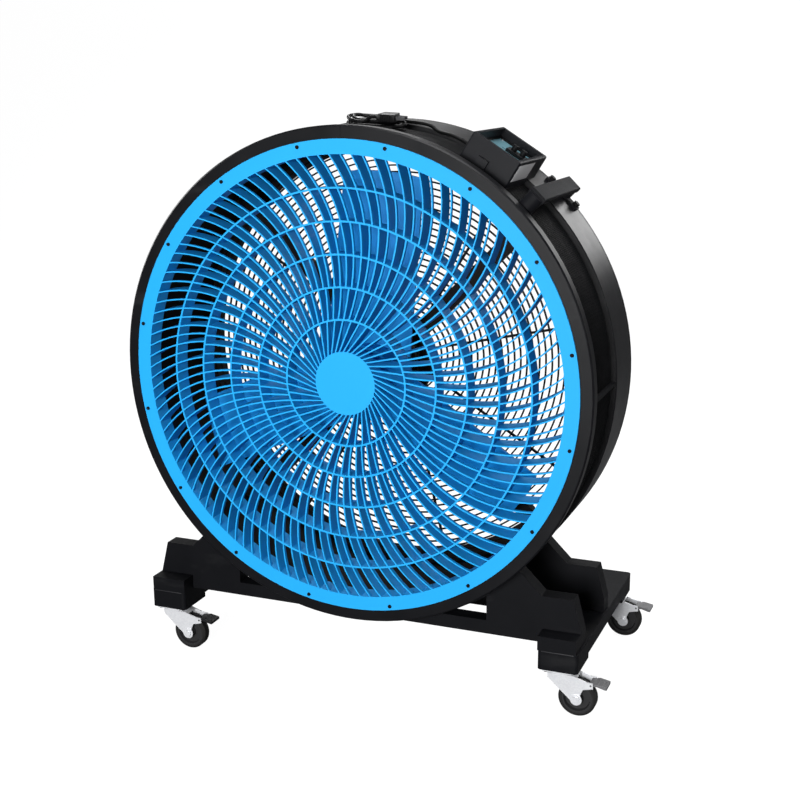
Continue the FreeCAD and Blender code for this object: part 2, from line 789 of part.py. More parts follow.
# Handle: a bar over the waist, with a leg on the shell and a bolted foot on the rear ring.
handle_base = on_drum("handle_angle")
handle_turn = "90 - handle_angle"
handle = new_body("carry_handle", handle_base, handle_turn)
half_bar = "handle_width / 2"
bar_low = "(handle_top - handle_thick)"
prism(handle, "XZ_Plane", "-handle_front + handle_leg_lead", "handle_back", lambda sketch: rectangle(
    sketch, "-" + half_bar, half_bar, bar_low, "handle_top"))
rounded(handle, "control_corner", lambda edge: along(edge, V(0, 1, 0)) or (
    along(edge, V(1, 0, 0)) and edge.BoundBox.ZMin > sizes["handle_top"] - 1))
prism(handle, "XZ_Plane", "-handle_front", "-handle_front + handle_leg_front", lambda sketch: rectangle(
    sketch, "-" + half_bar + " + 2", half_bar + " - 2",
    "-(drum_radius - waist_radius) - 4", bar_low + " + 8"))
rounded(handle, "handle_leg_round", lambda edge: along(edge, V(0, 0, 1)) and (
    edge.BoundBox.YMax < -sizes["handle_front"] + 1))
prism(handle, "XZ_Plane", "handle_back - handle_leg_back", "handle_back - 2", lambda sketch: rectangle(
    sketch, "-" + half_bar + " + 2", half_bar + " - 2", "-6", bar_low + " + 2"))
foot_end = "(handle_back - 4)"
prism(handle, "XZ_Plane", foot_end + " - handle_foot_length", foot_end, lambda sketch: rectangle(
    sketch, "-handle_foot_half", "handle_foot_half", "-8", "handle_foot_thick"))
prism(handle, "XZ_Plane", "-handle_front - 1", "-(rear_ring_front + fit_gap)", lambda sketch: circle(
    sketch, "0", "-drum_radius", seat_radius), cut=True)
prism(handle, "XZ_Plane", "-(rear_ring_front + fit_gap)", "handle_back + 1", lambda sketch: circle(
    sketch, "0", "-drum_radius", "drum_radius + fit_gap"), cut=True)
bolt_along = "(handle_back - 4 - handle_foot_length / 2)"
prism(handle, "XY_Plane", "-9", "handle_foot_thick + 1", lambda sketch: (
    circle(sketch, "handle_bolt_offset", bolt_along, "handle_bolt_radius + run_fit"),
    circle(sketch, "-handle_bolt_offset", bolt_along, "handle_bolt_radius + run_fit")), cut=True)


def hex_bolt(at, axis_up, shank, length, head, height):
    # The shank hangs below the head's seat.
    stem = Part.makeCylinder(shank, length, at - axis_up * length, axis_up)
    corners = [V(head * math.cos(math.radians(a)), head * math.sin(math.radians(a)), 0)
               for a in range(0, 361, 60)]
    block = Part.Face(Part.makePolygon(corners)).extrude(V(0, 0, height))
    block.Placement = FreeCAD.Placement(at, FreeCAD.Rotation(V(0, 0, 1), axis_up))
    return stem.fuse(block).removeSplitter()


handle_bolts = [hex_bolt(V(side * sizes["handle_bolt_offset"], value(bolt_along), sizes["handle_foot_thick"]),
                         V(0, 0, 1), sizes["handle_bolt_radius"], sizes["handle_foot_thick"] + 9,
                         sizes["handle_bolt_head"], sizes["handle_bolt_height"]) for side in (-1, 1)]
own_shape("handle_bolts", Part.makeCompound(handle_bolts), handle_base, handle_turn)

# Feet: a long plinth each side, with a block over each caster and sunk seats for the base bolts.
bolt_front = "-(cradle_front - cradle_thick + base_bolt_inset)"
bolt_rear = "-(rear_cradle_front - cradle_thick / 2)"
deck_low = "(foot_top - foot_deck)"
half_depth = "base_depth / 2"


def sided(side, text):
    return "%d * (%s)" % (side, text)


def plinth(label, side):
    foot = new_body(label)
    ends = sorted([sided(side, "base_half"), sided(side, "base_half - foot_width")], key=value)
    prism(foot, "XY_Plane", "foot_bottom", "foot_top", lambda sketch: rectangle(
        sketch, ends[0], ends[1], "-" + half_depth, half_depth))
    for low, high in (("-" + half_depth, "-" + half_depth + " + block_depth"),
                      (half_depth + " - block_depth", half_depth)):
        prism(foot, "XY_Plane", "caster_height", "foot_bottom", lambda sketch: rectangle(
            sketch, ends[0], ends[1], low, high))
    rounded(foot, "foot_corner", lambda edge: along(edge, V(0, 0, 1)) and (
        abs(edge.BoundBox.YMin) > sizes["base_depth"] / 2 - 1))
    prism(foot, "XY_Plane", "caster_height - 1", deck_low, lambda sketch: [
        circle(sketch, sided(side, "caster_x"), at, "base_bolt_head + 1")
        for at in (bolt_front, bolt_rear)], cut=True)
    prism(foot, "XY_Plane", deck_low + " - 1", "foot_top + 1", lambda sketch: [
        circle(sketch, sided(side, "caster_x"), at, "base_bolt_radius + run_fit")
        for at in (bolt_front, bolt_rear)], cut=True)
    prism(foot, "XY_Plane", "caster_height - 1", "caster_height + caster_screw_length", lambda sketch: [
        circle(sketch, sided(side, "caster_x") + " + %d * caster_screw_offset" % i,
               "%d * caster_y + %d * caster_screw_offset" % (end, j), "caster_screw_radius + run_fit")
        for end in (-1, 1) for i in (-1, 1) for j in (-1, 1)], cut=True)


plinth("left_foot", -1)
plinth("right_foot", 1)


# Cradles: panels across both feet whose risers slope up to the drum, with two windows each.
def window(sketch, side, radius):
    reach = value("window_outer")
    drop = value("axis_height - beam_top")
    big = value(radius)
    centre = V(0, value("axis_height"), 0)
    low = V(side * reach, value("beam_top"), 0)
    upper = V(side * reach, centre.y - math.sqrt(big * big - reach * reach), 0)
    inner = V(side * math.sqrt(big * big - drop * drop), low.y, 0)
    angles = sorted([math.atan2(p.y - centre.y, p.x) for p in (upper, inner)])
    arc = Part.ArcOfCircle(Part.Circle(centre, V(0, 0, 1), big), angles[0], angles[1])
    first = sketch.GeometryCount
    sketch.addGeometry([Part.LineSegment(low, upper), Part.LineSegment(inner, low), arc], False)
    upper_end, inner_end = (2, 1) if side > 0 else (1, 2)
    sketch.addConstraint([
        Sketcher.Constraint("Coincident", first, 2, first + 2, upper_end),
        Sketcher.Constraint("Coincident", first + 1, 1, first + 2, inner_end),
        Sketcher.Constraint("Coincident", first + 1, 2, first, 1),
        Sketcher.Constraint("Vertical", first), Sketcher.Constraint("Horizontal", first + 1)])
    fix_point(sketch, first, 1, sided(side, "window_outer"), "beam_top")
    fix_point(sketch, first + 2, 3, "0", "axis_height")
    number = sketch.addConstraint(Sketcher.Constraint("Radius", first + 2, big))
    sketch.setExpression("Constraints[%d]" % number, rule(radius))


def cradle(label, start, seat, drop, ledge):
    panel = new_body(label)
    end = "(%s) + cradle_thick" % start
    wide = "base_half - ledge_inset"
    narrow = "base_half - ledge_inset - cradle_lean"
    inside = "base_half - foot_width - fit_gap"
    right = [(wide, "foot_top"), (wide, "cradle_step"), (narrow, "riser_top"),
             (narrow + " - riser_flat", "riser_top"),
             (narrow + " - riser_flat - slope_run", "riser_top + slope_run")]
    if drop:
        right = [(inside, "foot_top - " + drop), (inside, "foot_top")] + right
    left = [("-(%s)" % across, up) for across, up in reversed(right)]
    prism(panel, "XZ_Plane", start, end, lambda sketch: polygon(sketch, right + left))
    if ledge:
        for side in (-1, 1):
            ends = sorted([sided(side, wide), sided(side, "base_half - foot_width")], key=value)
            prism(panel, "XZ_Plane", "-" + half_depth, start, lambda sketch: rectangle(
                sketch, ends[0], ends[1], "foot_top", "cradle_step"))
    prism(panel, "XZ_Plane", start + " - 1", end + " + 1", lambda sketch: circle(
        sketch, "0", "axis_height", seat), cut=True)
    prism(panel, "XZ_Plane", start + " - 1", end + " + 1", lambda sketch: [
        window(sketch, side, seat + " + seat_rim") for side in (-1, 1)], cut=True)
    at = bolt_front if ledge else bolt_rear
    prism(panel, "XY_Plane", "foot_top - 1", deck_low + " + base_bolt_grip + 1", lambda sketch: [
        circle(sketch, sided(side, "caster_x"), at, "base_bolt_radius + run_fit") for side in (-1, 1)],
        cut=True)


cradle("front_cradle", "-cradle_front", seat_radius, None, True)
cradle("rear_cradle", "-rear_cradle_front", "(drum_radius + fit_gap)", "beam_drop", False)
base_bolts = [hex_bolt(V(side * sizes["caster_x"], value(at), value(deck_low)), V(0, 0, -1),
                       sizes["base_bolt_radius"], sizes["base_bolt_grip"], sizes["base_bolt_head"],
                       sizes["base_bolt_height"]) for side in (-1, 1) for at in (bolt_front, bolt_rear)]
own_shape("base_bolts", Part.makeCompound(base_bolts))

# Casters: swivel plate with kingpin, fork trailing to +X, wheel on its axle and a brake pedal.
plate_low = "(caster_height - plate_thick)"
race_low = "(caster_height - plate_thick - race_height)"
crown_top = "(caster_height - plate_thick - race_height - fit_gap)"
crown_low = "(caster_height - plate_thick - race_height - fit_gap - crown_thick)"
head_top = "(caster_height - plate_thick - race_height - 2 * fit_gap - crown_thick)"
head_low = "(caster_height - plate_thick - race_height - 2 * fit_gap - crown_thick - kingpin_head_height)"
fork_half = "(fork_gap / 2 + fork_wall)"
tyre_bore = "(wheel_radius - tyre_depth)"
corners = (("front_left", -1, -1), ("front_right", 1, -1), ("rear_left", -1, 1), ("rear_right", 1, 1))
plates = []
screws = []


def swivel_plate(name, base):
    plate = new_body("plate_" + name, base, keep=False)
    half = "plate_size / 2"
    prism(plate, "XY_Plane", plate_low, "caster_height", lambda sketch: rectangle(
        sketch, "-" + half, half, "-" + half, half))
    turned(plate, [("0", plate_low + " + 1"), ("race_radius", plate_low + " + 1"), ("race_radius", race_low),
                   ("kingpin_radius", race_low), ("kingpin_radius", head_top), ("kingpin_head", head_top),
                   ("kingpin_head", head_low), ("0", head_low)], "XZ_Plane", "V_Axis")
    prism(plate, "XY_Plane", plate_low + " - 1", "caster_height + 1", lambda sketch: [
        circle(sketch, "%d * caster_screw_offset" % i, "%d * caster_screw_offset" % j,
               "caster_screw_radius + run_fit") for i in (-1, 1) for j in (-1, 1)], cut=True)
    plates.append(plate)


def fork_piece(name, base):
    fork = new_body("fork_" + name, base)
    prism(fork, "XZ_Plane", "-" + fork_half, fork_half, lambda sketch: polygon(sketch, [
        ("-crown_front", crown_top), ("-crown_front", crown_low + " - 6"),
        ("trail - axle_boss", "wheel_radius - 4"), ("trail - 5", "wheel_radius - axle_boss"),
        ("trail + 6", "wheel_radius - axle_boss"), ("trail + axle_boss", "wheel_radius - 2"),
        ("trail + axle_boss - 2", "wheel_radius + axle_boss"), ("trail + axle_boss + 3", "pivot_z - 11"),
        ("pivot_x + 5", "pivot_z - 6"), ("pivot_x + 4", "pivot_z + 5"), ("pivot_x - 8", "pivot_z + 6"),
        ("crown_front + 6", crown_top)]))
    prism(fork, "XZ_Plane", "-fork_gap / 2", "fork_gap / 2", lambda sketch: rectangle(
        sketch, "-crown_front - 20", "pedal_reach + 20", "-5", crown_low), cut=True)
    prism(fork, "XY_Plane", crown_low + " - 1", crown_top + " + 1", lambda sketch: circle(
        sketch, "0", "0", "kingpin_radius + run_fit"), cut=True)
    prism(fork, "XZ_Plane", "-" + fork_half + " - 1", fork_half + " + 1", lambda sketch: (
        circle(sketch, "trail", "wheel_radius", "axle_radius + run_fit"),
        circle(sketch, "pivot_x", "pivot_z", "pivot_radius + run_fit")), cut=True)


def wheel_pieces(name, base):
    hub_base = (base[0] + " + trail", base[1], "wheel_radius")
    axle = new_body("axle_" + name, hub_base)
    head = fork_half + " + axle_head_height"
    turned(axle, [("-(%s)" % head, "0"), ("-(%s)" % head, "axle_head"), ("-" + fork_half, "axle_head"),
                  ("-" + fork_half, "axle_radius"), (fork_half, "axle_radius"),
                  (fork_half, "axle_head"), (head, "axle_head"), (head, "0")])
    half = "tyre_width / 2"
    tyre = new_body("tyre_" + name, hub_base)
    turned(tyre, [("-" + half, tyre_bore), ("-" + half, "wheel_radius - 4"),
                  ("-" + half + " + 4", "wheel_radius"), (half + " - 4", "wheel_radius"),
                  (half, "wheel_radius - 4"), (half, tyre_bore)])
    boss = "wheel_boss / 2"
    bore = "axle_radius + run_fit"
    rim = new_body("wheel_hub_" + name, hub_base)
    turned(rim, [("-" + boss, bore), ("-" + boss, "wheel_boss_radius"), ("-4", "wheel_boss_radius + 2"),
                 ("-4", tyre_bore + " - 6"), ("-" + half + " + 1", tyre_bore + " - 4"),
                 ("-" + half + " + 1", tyre_bore), (half + " - 1", tyre_bore),
                 (half + " - 1", tyre_bore + " - 4"), ("4", tyre_bore + " - 6"),
                 ("4", "wheel_boss_radius + 2"), (boss, "wheel_boss_radius"), (boss, bore)])


def brake_pedal(name, base):
    pedal = new_body("brake_pedal_" + name, (base[0] + " + pivot_x", base[1], "pivot_z"))
    tip = "(pedal_reach - pivot_x)"
    prism(pedal, "XZ_Plane", "-pedal_inner / 2", "pedal_inner / 2", lambda sketch: polygon(sketch, [
        ("-4", "-2"), ("-3", "3.5"), ("3", "4"), ("8", "3.5"), ("8", "-1.5"), ("2", "-3")]))
    prism(pedal, "XZ_Plane", "-pedal_outer / 2", "pedal_outer / 2", lambda sketch: polygon(sketch, [
        ("6.5", "-1.2"), ("6.5", "3.5"), ("12", "4.2"), (tip, "4.2 - pedal_thick + 1"), (tip, "-pedal_thick"),
        (tip + " - 4", "-pedal_thick"), ("12", "4.2 - pedal_thick")]))
    prism(pedal, "XZ_Plane", "-" + fork_half, fork_half, lambda sketch: circle(
        sketch, "0", "0", "pivot_radius"))


for name, side, end in corners:
    caster_base = (sided(side, "caster_x"), sided(end, "caster_y"), "0")
    swivel_plate(name, caster_base)
    fork_piece(name, caster_base)
    wheel_pieces(name, caster_base)
    brake_pedal(name, caster_base)
    for i in (-1, 1):
        for j in (-1, 1):
            at = V(side * sizes["caster_x"] + i * sizes["caster_screw_offset"],
                   end * sizes["caster_y"] + j * sizes["caster_screw_offset"], value(plate_low))
            stem = Part.makeCylinder(sizes["caster_screw_radius"],
                                     sizes["caster_screw_length"] + sizes["plate_thick"] - 1, at)
            cap = Part.makeCylinder(sizes["caster_screw_head"], sizes["caster_screw_height"],
                                    at - V(0, 0, sizes["caster_screw_height"]))
            screws.append(stem.fuse(cap).removeSplitter())
caster_plates = doc.addObject("Part::Compound", "caster_plates")
caster_plates.Label = "caster_plates"
caster_plates.Links = plates
nodes.append(caster_plates)
own_shape("caster_screws", Part.makeCompound(screws))


# Power cord: a hank lying in the waist, its lead to the control box and its plug.
class Route:
    # A path of lines, half turns and climbs in the hank's own frame.
    def __init__(self, start):
        self.at = start
        self.edges = []

    def line_to(self, end):
        self.edges.append(Part.makeLine(self.at, end))
        self.at = end

    def half_turn_to(self, end, bulge):
        middle = (self.at + end) * 0.5 + V(bulge * 0.5 * (end - self.at).Length, 0, 0)
        self.edges.append(Part.Arc(self.at, middle, end).toShape())
        self.at = end

    def climb_to(self, end):
        # Two equal arcs that leave and arrive level.
        start = self.at
        run = abs(end.x - start.x)
        rise = end.z - start.z
        radius = (run * run + rise * rise) / (4 * rise)
        half = math.asin(run / 2 / radius) / 2
        way = 1 if end.x > start.x else -1
        middle = (start + end) * 0.5
        first = V(start.x + way * radius * math.sin(half), start.y, start.z + radius * (1 - math.cos(half)))
        last = V(end.x - way * radius * math.sin(half), end.y, end.z - radius * (1 - math.cos(half)))
        self.edges.append(Part.Arc(start, first, middle).toShape())
        self.edges.append(Part.Arc(middle, last, end).toShape())
        self.at = end


cord = sizes["cord_diameter"]
run_half = sizes["hank_run"] / 2
turns = int(sizes["hank_turns"])
widths = [sizes["hank_inner"] + (2 * turns - 1 - i) * sizes["hank_step"] / 2 for i in range(2 * turns)]
tail = V(run_half + sizes["hank_tail"], widths[0], 0)
route = Route(tail)
route.line_to(V(-run_half, widths[0], 0))
inward = True
for layer in range(int(sizes["hank_layers"])):
    height = layer * sizes["hank_rise"]
    order = widths if inward else widths[::-1]
    last_layer = layer == int(sizes["hank_layers"]) - 1
    for i, wide in enumerate(order[1:], 1):
        rear = (i % 2 == 0) if inward else (i % 2 == 1)
        side = 1 if rear else -1
        heading = -1 if rear else 1
        near, far = -heading * run_half, heading * run_half
        route.half_turn_to(V(near, side * wide, height), -heading)
        if i < len(order) - 1:
            if last_layer and i == len(order) - 2:
                break
            route.line_to(V(far, side * wide, height))
        elif not last_layer:
            route.climb_to(V(far, side * wide, height + sizes["hank_rise"]))
    inward = not inward
plug_end = V(run_half * 0.4, route.at.y, route.at.z + sizes["plug_lift"])
route.climb_to(plug_end - V(cord, 0, 0))
route.line_to(plug_end)

hank_tilt = FreeCAD.Rotation(V(1, 0, 0), sizes["hank_tilt"])
hank_turn = FreeCAD.Rotation(V(0, 1, 0), 90 - sizes["hank_angle"])
hank_reach = sizes["waist_radius"] + sizes["rib_height"] + sizes["hank_seat"]
hank_place = FreeCAD.Placement(
    V(hank_reach * math.cos(math.radians(sizes["hank_angle"])), -sizes["hank_along"],
      sizes["axis_height"] + hank_reach * math.sin(math.radians(sizes["hank_angle"]))),
    hank_turn.multiply(hank_tilt))


def least_gap(wire, reach):
    # Smallest clear space between two strands that lie apart along the cord.
    step = 3.0
    spots = wire.discretize(Distance=step)
    skip = int(math.pi * reach / step)
    best = 1e9
    for i in range(0, len(spots)):
        for j in range(i + skip, len(spots)):
            best = min(best, (spots[i] - spots[j]).Length)
    return best - cord


def cord_tube(wire):
    start = wire.Edges[0]
    heading = start.tangentAt(start.FirstParameter)
    ring = Part.Wire(Part.makeCircle(cord / 2, wire.Vertexes[0].Point, heading))
    return wire.makePipeShell([ring], True, False)


hank_wire = Part.Wire(route.edges)
print("hank length %.0f mm, least gap %.2f mm" % (hank_wire.Length, least_gap(hank_wire, cord * 2)))
own_shape("cord_hank", cord_tube(hank_wire), placement=hank_place)


def eased_wire(points):
    # Straight runs with the largest arcs that the runs allow.
    runs = [(points[i + 1] - points[i]).Length for i in range(len(points) - 1)]
    edges = []
    at = points[0]
    for i in range(1, len(points) - 1):
        before = (points[i] - points[i - 1]).normalize()
        after = (points[i + 1] - points[i]).normalize()
        turn = math.acos(max(-1.0, min(1.0, before.dot(after))))
        back = 0.45 * min(runs[i - 1], runs[i])
        radius = back / math.tan(turn / 2)
        print("cord bend %d radius %.0f mm" % (i, radius))
        start = points[i] - before * back
        end = points[i] + after * back
        inward_way = (after - before).normalize()
        centre = points[i] + inward_way * (radius / math.cos(turn / 2))
        middle = centre - inward_way * radius
        edges.append(Part.makeLine(at, start))
        edges.append(Part.Arc(start, middle, end).toShape())
        at = end
    edges.append(Part.makeLine(at, points[-1]))
    return Part.Wire(edges)


control_place = FreeCAD.Placement(
    V(*[value(text) for text in control_base]),
    FreeCAD.Rotation(V(0, 1, 0), value(control_turn)))
gland_end = control_place.multVec(V(value(gland_face) - sizes["gland_length"], -sizes["gland_along"],
                                    -sizes["gland_down"]))
gland_way = control_place.Rotation.multVec(V(-1, 0, 0))
tail_end = hank_place.multVec(tail)
tail_way = hank_place.Rotation.multVec(V(1, 0, 0))
lead = [gland_end, gland_end + gland_way * 36, V(132, -80, 1100), tail_end + tail_way * 25, tail_end]
lead_wire = eased_wire(lead)
lead_solid = cord_tube(lead_wire)
print("lead length %.0f mm, volume share %.4f" % (
    lead_wire.Length, lead_solid.Volume / (lead_wire.Length * math.pi * cord * cord / 4)))
own_shape("cord_lead", lead_solid)

plug = Part.makeBox(sizes["plug_length"], sizes["plug_width"], sizes["plug_height"],
                    plug_end - V(0, sizes["plug_width"] / 2, sizes["plug_height"] / 2))
plug = plug.makeChamfer(sizes["plug_height"] / 5, plug.Edges)
own_shape("plug_body", plug, placement=hank_place)
pins = []
for side in (-1, 1):
    pin_spot = plug_end + V(sizes["plug_length"], side * sizes["pin_spacing"] / 2 - sizes["pin_thick"] / 2,
                            -sizes["pin_width"] / 2)
    pins.append(Part.makeBox(sizes["pin_length"], sizes["pin_thick"], sizes["pin_width"], pin_spot))
own_shape("plug_pins", Part.makeCompound(pins), placement=hank_place)


doc.recompute()
faults = [item.Label for item in doc.Objects if "Invalid" in item.State or "Error" in item.State]
if faults:
    raise RuntimeError("not built: " + ", ".join(faults))
for node in nodes:
    if node.Shape.isNull() or not node.Shape.isValid():
        raise RuntimeError("bad shape: " + node.Label)
os.makedirs("parts", exist_ok=True)
for node in nodes:
    node.Shape.exportStep("parts/%s.step" % node.Label)
print("wrote %d pieces" % len(nodes))
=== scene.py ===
import bpy
import json
import math
from mathutils import Matrix, Vector


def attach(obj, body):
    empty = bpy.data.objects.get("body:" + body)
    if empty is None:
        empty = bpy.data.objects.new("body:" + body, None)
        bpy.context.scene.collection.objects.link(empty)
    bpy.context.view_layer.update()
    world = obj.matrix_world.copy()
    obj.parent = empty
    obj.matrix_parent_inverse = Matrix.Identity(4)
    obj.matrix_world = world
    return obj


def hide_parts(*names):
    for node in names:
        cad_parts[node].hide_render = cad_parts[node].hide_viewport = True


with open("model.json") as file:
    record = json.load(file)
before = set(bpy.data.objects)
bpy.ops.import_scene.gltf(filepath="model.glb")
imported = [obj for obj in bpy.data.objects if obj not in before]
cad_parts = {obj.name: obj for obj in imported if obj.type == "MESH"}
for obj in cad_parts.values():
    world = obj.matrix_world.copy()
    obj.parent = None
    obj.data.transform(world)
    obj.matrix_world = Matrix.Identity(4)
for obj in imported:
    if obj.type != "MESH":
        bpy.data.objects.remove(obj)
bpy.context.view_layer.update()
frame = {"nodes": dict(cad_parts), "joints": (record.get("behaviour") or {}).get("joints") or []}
nodes = frame["nodes"]
print("frame loaded:", len(nodes), "solids")

casterNames = ["front_left", "front_right", "rear_left", "rear_right"]
jointAt = {joint["name"]: Vector(joint["pos_m"]) for joint in frame["joints"]}
drumAxis = Vector((0, 0, 0.63))
drumRadius = 0.49
boxAngle = 57.75  # where the control box stands on the drum, in degrees
solidSmooth = 30  # edges of the solids under this angle are shaded smooth
facing = 0.9  # a face looks along an axis if its normal has more than this of it


# small helpers for working by hand in metres
def clearSelection():
    if bpy.context.object and bpy.context.object.mode != "OBJECT":
        bpy.ops.object.mode_set(mode="OBJECT")
    bpy.ops.object.select_all(action="DESELECT")


def takeUp(piece):
    clearSelection()
    piece.select_set(True)
    bpy.context.view_layer.objects.active = piece


def settle(piece, place=None):
    # put the place into the mesh, so the object sits at the origin
    takeUp(piece)
    bpy.ops.object.transform_apply(location=True, rotation=True, scale=True)
    if place is not None:
        piece.data.transform(place)
        piece.data.update()


def pick(piece, kind, test):
    # select the faces, edges or vertices that pass the test, and stay in edit mode
    takeUp(piece)
    bpy.ops.object.mode_set(mode="EDIT")
    bpy.ops.mesh.select_mode(type=kind)
    bpy.ops.mesh.select_all(action="DESELECT")
    bpy.ops.object.mode_set(mode="OBJECT")
    mesh = piece.data
    for part in {"FACE": mesh.polygons, "EDGE": mesh.edges, "VERT": mesh.vertices}[kind]:
        part.select = test(part)
    bpy.ops.object.mode_set(mode="EDIT")


def leaveEdit():
    bpy.ops.object.mode_set(mode="OBJECT")


def smoothSides(piece, angle=35):
    takeUp(piece)
    bpy.ops.object.shade_smooth_by_angle(angle=math.radians(angle))


def roundEdges(piece, width, segments):
    takeUp(piece)
    edge = piece.modifiers.new("edge", "BEVEL")
    edge.width = width
    edge.segments = segments
    edge.limit_method = "ANGLE"
    bpy.ops.object.modifier_apply(modifier=edge.name)


def softBox(name, size, edge, segments=2, at=(0, 0, 0)):
    clearSelection()
    bpy.ops.mesh.primitive_cube_add(size=1, location=at, scale=size)
    piece = bpy.context.object
    piece.name = name
    settle(piece)
    bpy.ops.object.mode_set(mode="EDIT")
    bpy.ops.mesh.select_all(action="SELECT")
    bpy.ops.mesh.bevel(offset=edge, segments=segments, affect="EDGES")
    leaveEdit()
    smoothSides(piece)
    return piece


def copyTo(piece, places, name):
    # a copy with its own mesh at each place, joined into one piece
    copies = []
    for place in places:
        twin = piece.copy()
        twin.data = piece.data.copy()
        bpy.context.scene.collection.objects.link(twin)
        twin.data.transform(place)
        copies.append(twin)
    clearSelection()
    for twin in copies:
        twin.select_set(True)
    bpy.context.view_layer.objects.active = copies[0]
    bpy.ops.object.join()
    copies[0].name = name
    return copies[0]


def finishPiece(piece, material, body):
    piece.data.materials.clear()
    piece.data.materials.append(material)
    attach(piece, body)
    return piece


def onDrum(angle):
    # frame of a piece that stands on the drum at this angle
    turn = math.radians(angle)
    at = drumAxis + Vector((math.cos(turn), 0, math.sin(turn))) * drumRadius
    return Matrix.Translation(at) @ Matrix.Rotation(math.radians(90 - angle), 4, "Y")


boxFrame = onDrum(boxAngle)

# camera at the photograph's angle
cameraPlan = {"at": (1.0387, -2.5019, 1.2269), "azimuth": 22.22, "elevation": 14.22, "roll": -0.475,
              "lens": 59.63, "sensor": 36}


def setCamera(plan):
    azimuth, elevation = math.radians(plan["azimuth"]), math.radians(plan["elevation"])
    back = Vector((math.sin(azimuth) * math.cos(elevation), -math.cos(azimuth) * math.cos(elevation),
                   math.sin(elevation)))
    right = Vector((math.cos(azimuth), math.sin(azimuth), 0))
    up = back.cross(right)
    roll = math.radians(plan["roll"])
    tiltedRight = right * math.cos(roll) + up * math.sin(roll)
    tiltedUp = up * math.cos(roll) - right * math.sin(roll)
    data = bpy.data.cameras.new("photoCamera")
    data.lens = plan["lens"]
    data.sensor_width = plan["sensor"]
    camera = bpy.data.objects.new("photoCamera", data)
    bpy.context.scene.collection.objects.link(camera)
    turn = Matrix((tiltedRight, tiltedUp, back)).transposed().to_4x4()
    camera.matrix_world = Matrix.Translation(plan["at"]) @ turn
    bpy.context.scene.camera = camera


setCamera(cameraPlan)
print("camera set")

# power cord: lead from the box, then a loose hank in the waist of the drum
cordPlan = {
    "diameter": 0.007, "order": 3, "fineAlong": 6, "fineRound": 4,
    # lead, from the gland in a bow to the hank
    "gland": (-0.0695, -0.084, -0.006), "glandRun": 0.036, "bow": (0.132, -0.080, 1.100), "arrive": 0.025,
    "tail": 0.040,
    # where the hank lies on the drum
    "waist": 0.4792, "seat": 0.0078, "angle": 87.5, "forward": 0.108, "tilt": 8,
    # its turns, some a little longer or higher than the rest
    "run": 0.052, "inner": 0.016, "step": 0.008, "rise": 0.008, "turns": 3, "layers": 2, "perHalfTurn": 6,
    "fan": 2.5,
    "loose": (0.002, -0.002, 0.004, 0.001, -0.001, 0.005, 0.001, -0.002, 0.003),
    "curl": (0.001, 0.001, 0.0, 0.0, 0.001, 0.004, 0.007, 0.003, 0.005),
    # the end that climbs over them to the plug
    "lift": 0.0115, "climbAt": -0.22, "climbLift": 0.05, "plugAt": 0.2, "plugRun": 0.016, "endPoints": 3}


def hankFrame(plan):
    turn = math.radians(plan["angle"])
    reach = plan["waist"] + plan["seat"]
    at = Vector((reach * math.cos(turn), -plan["forward"], drumAxis.z + reach * math.sin(turn)))
    return (Matrix.Translation(at) @ Matrix.Rotation(math.radians(90 - plan["angle"]), 4, "Y")
            @ Matrix.Rotation(math.radians(plan["tilt"]), 4, "X"))


def halfTurn(plan, start, end, side, extra):
    # control points that hold a half circle between two runs; extra makes a turn longer or shorter
    ring = abs(end - start) / 2
    middle = (start + end) / 2
    step = math.pi / plan["perHalfTurn"]
    reach = ring / math.cos(step / 2)
    sign = 1 if start > end else -1
    spots = []
    for k in range(plan["perHalfTurn"]):
        angle = (k + 0.5) * step
        across = plan["run"] / 2 + extra + reach * math.sin(angle)
        spots.append((side * across, middle + sign * reach * math.cos(angle), math.sin(angle)))
    return spots


def hankPoints(plan):
    turns, layers = plan["turns"], plan["layers"]
    widths = [plan["inner"] + (2 * turns - 1 - i) * plan["step"] / 2 for i in range(2 * turns)]
    points = []
    at = widths[0]
    inward = True
    count = 0
    for layer in range(layers):
        order = widths if inward else widths[::-1]
        height = layer * plan["rise"]
        for i, wide in enumerate(order[1:], 1):
            rear = (i % 2 == 0) == inward
            nextAt = wide if rear else -wide
            extra, lift = plan["loose"][count], plan["curl"][count]
            for across, along, share in halfTurn(plan, at, nextAt, 1 if rear else -1, extra):
                points.append((across, along, height + lift * share))
            at = nextAt
            count += 1
            if layer == layers - 1 and i == len(order) - 2:
                break
        inward = not inward
    # the end rises over the turns and runs straight into the plug
    top = (layers - 1) * plan["rise"]
    plugAt = plan["run"] * plan["plugAt"]
    points.append((plan["run"] * plan["climbAt"], at, top + plan["lift"] * plan["climbLift"]))
    points.append((plugAt - plan["plugRun"], at, top + plan["lift"]))
    points.append((plugAt, at, top + plan["lift"]))
    return points


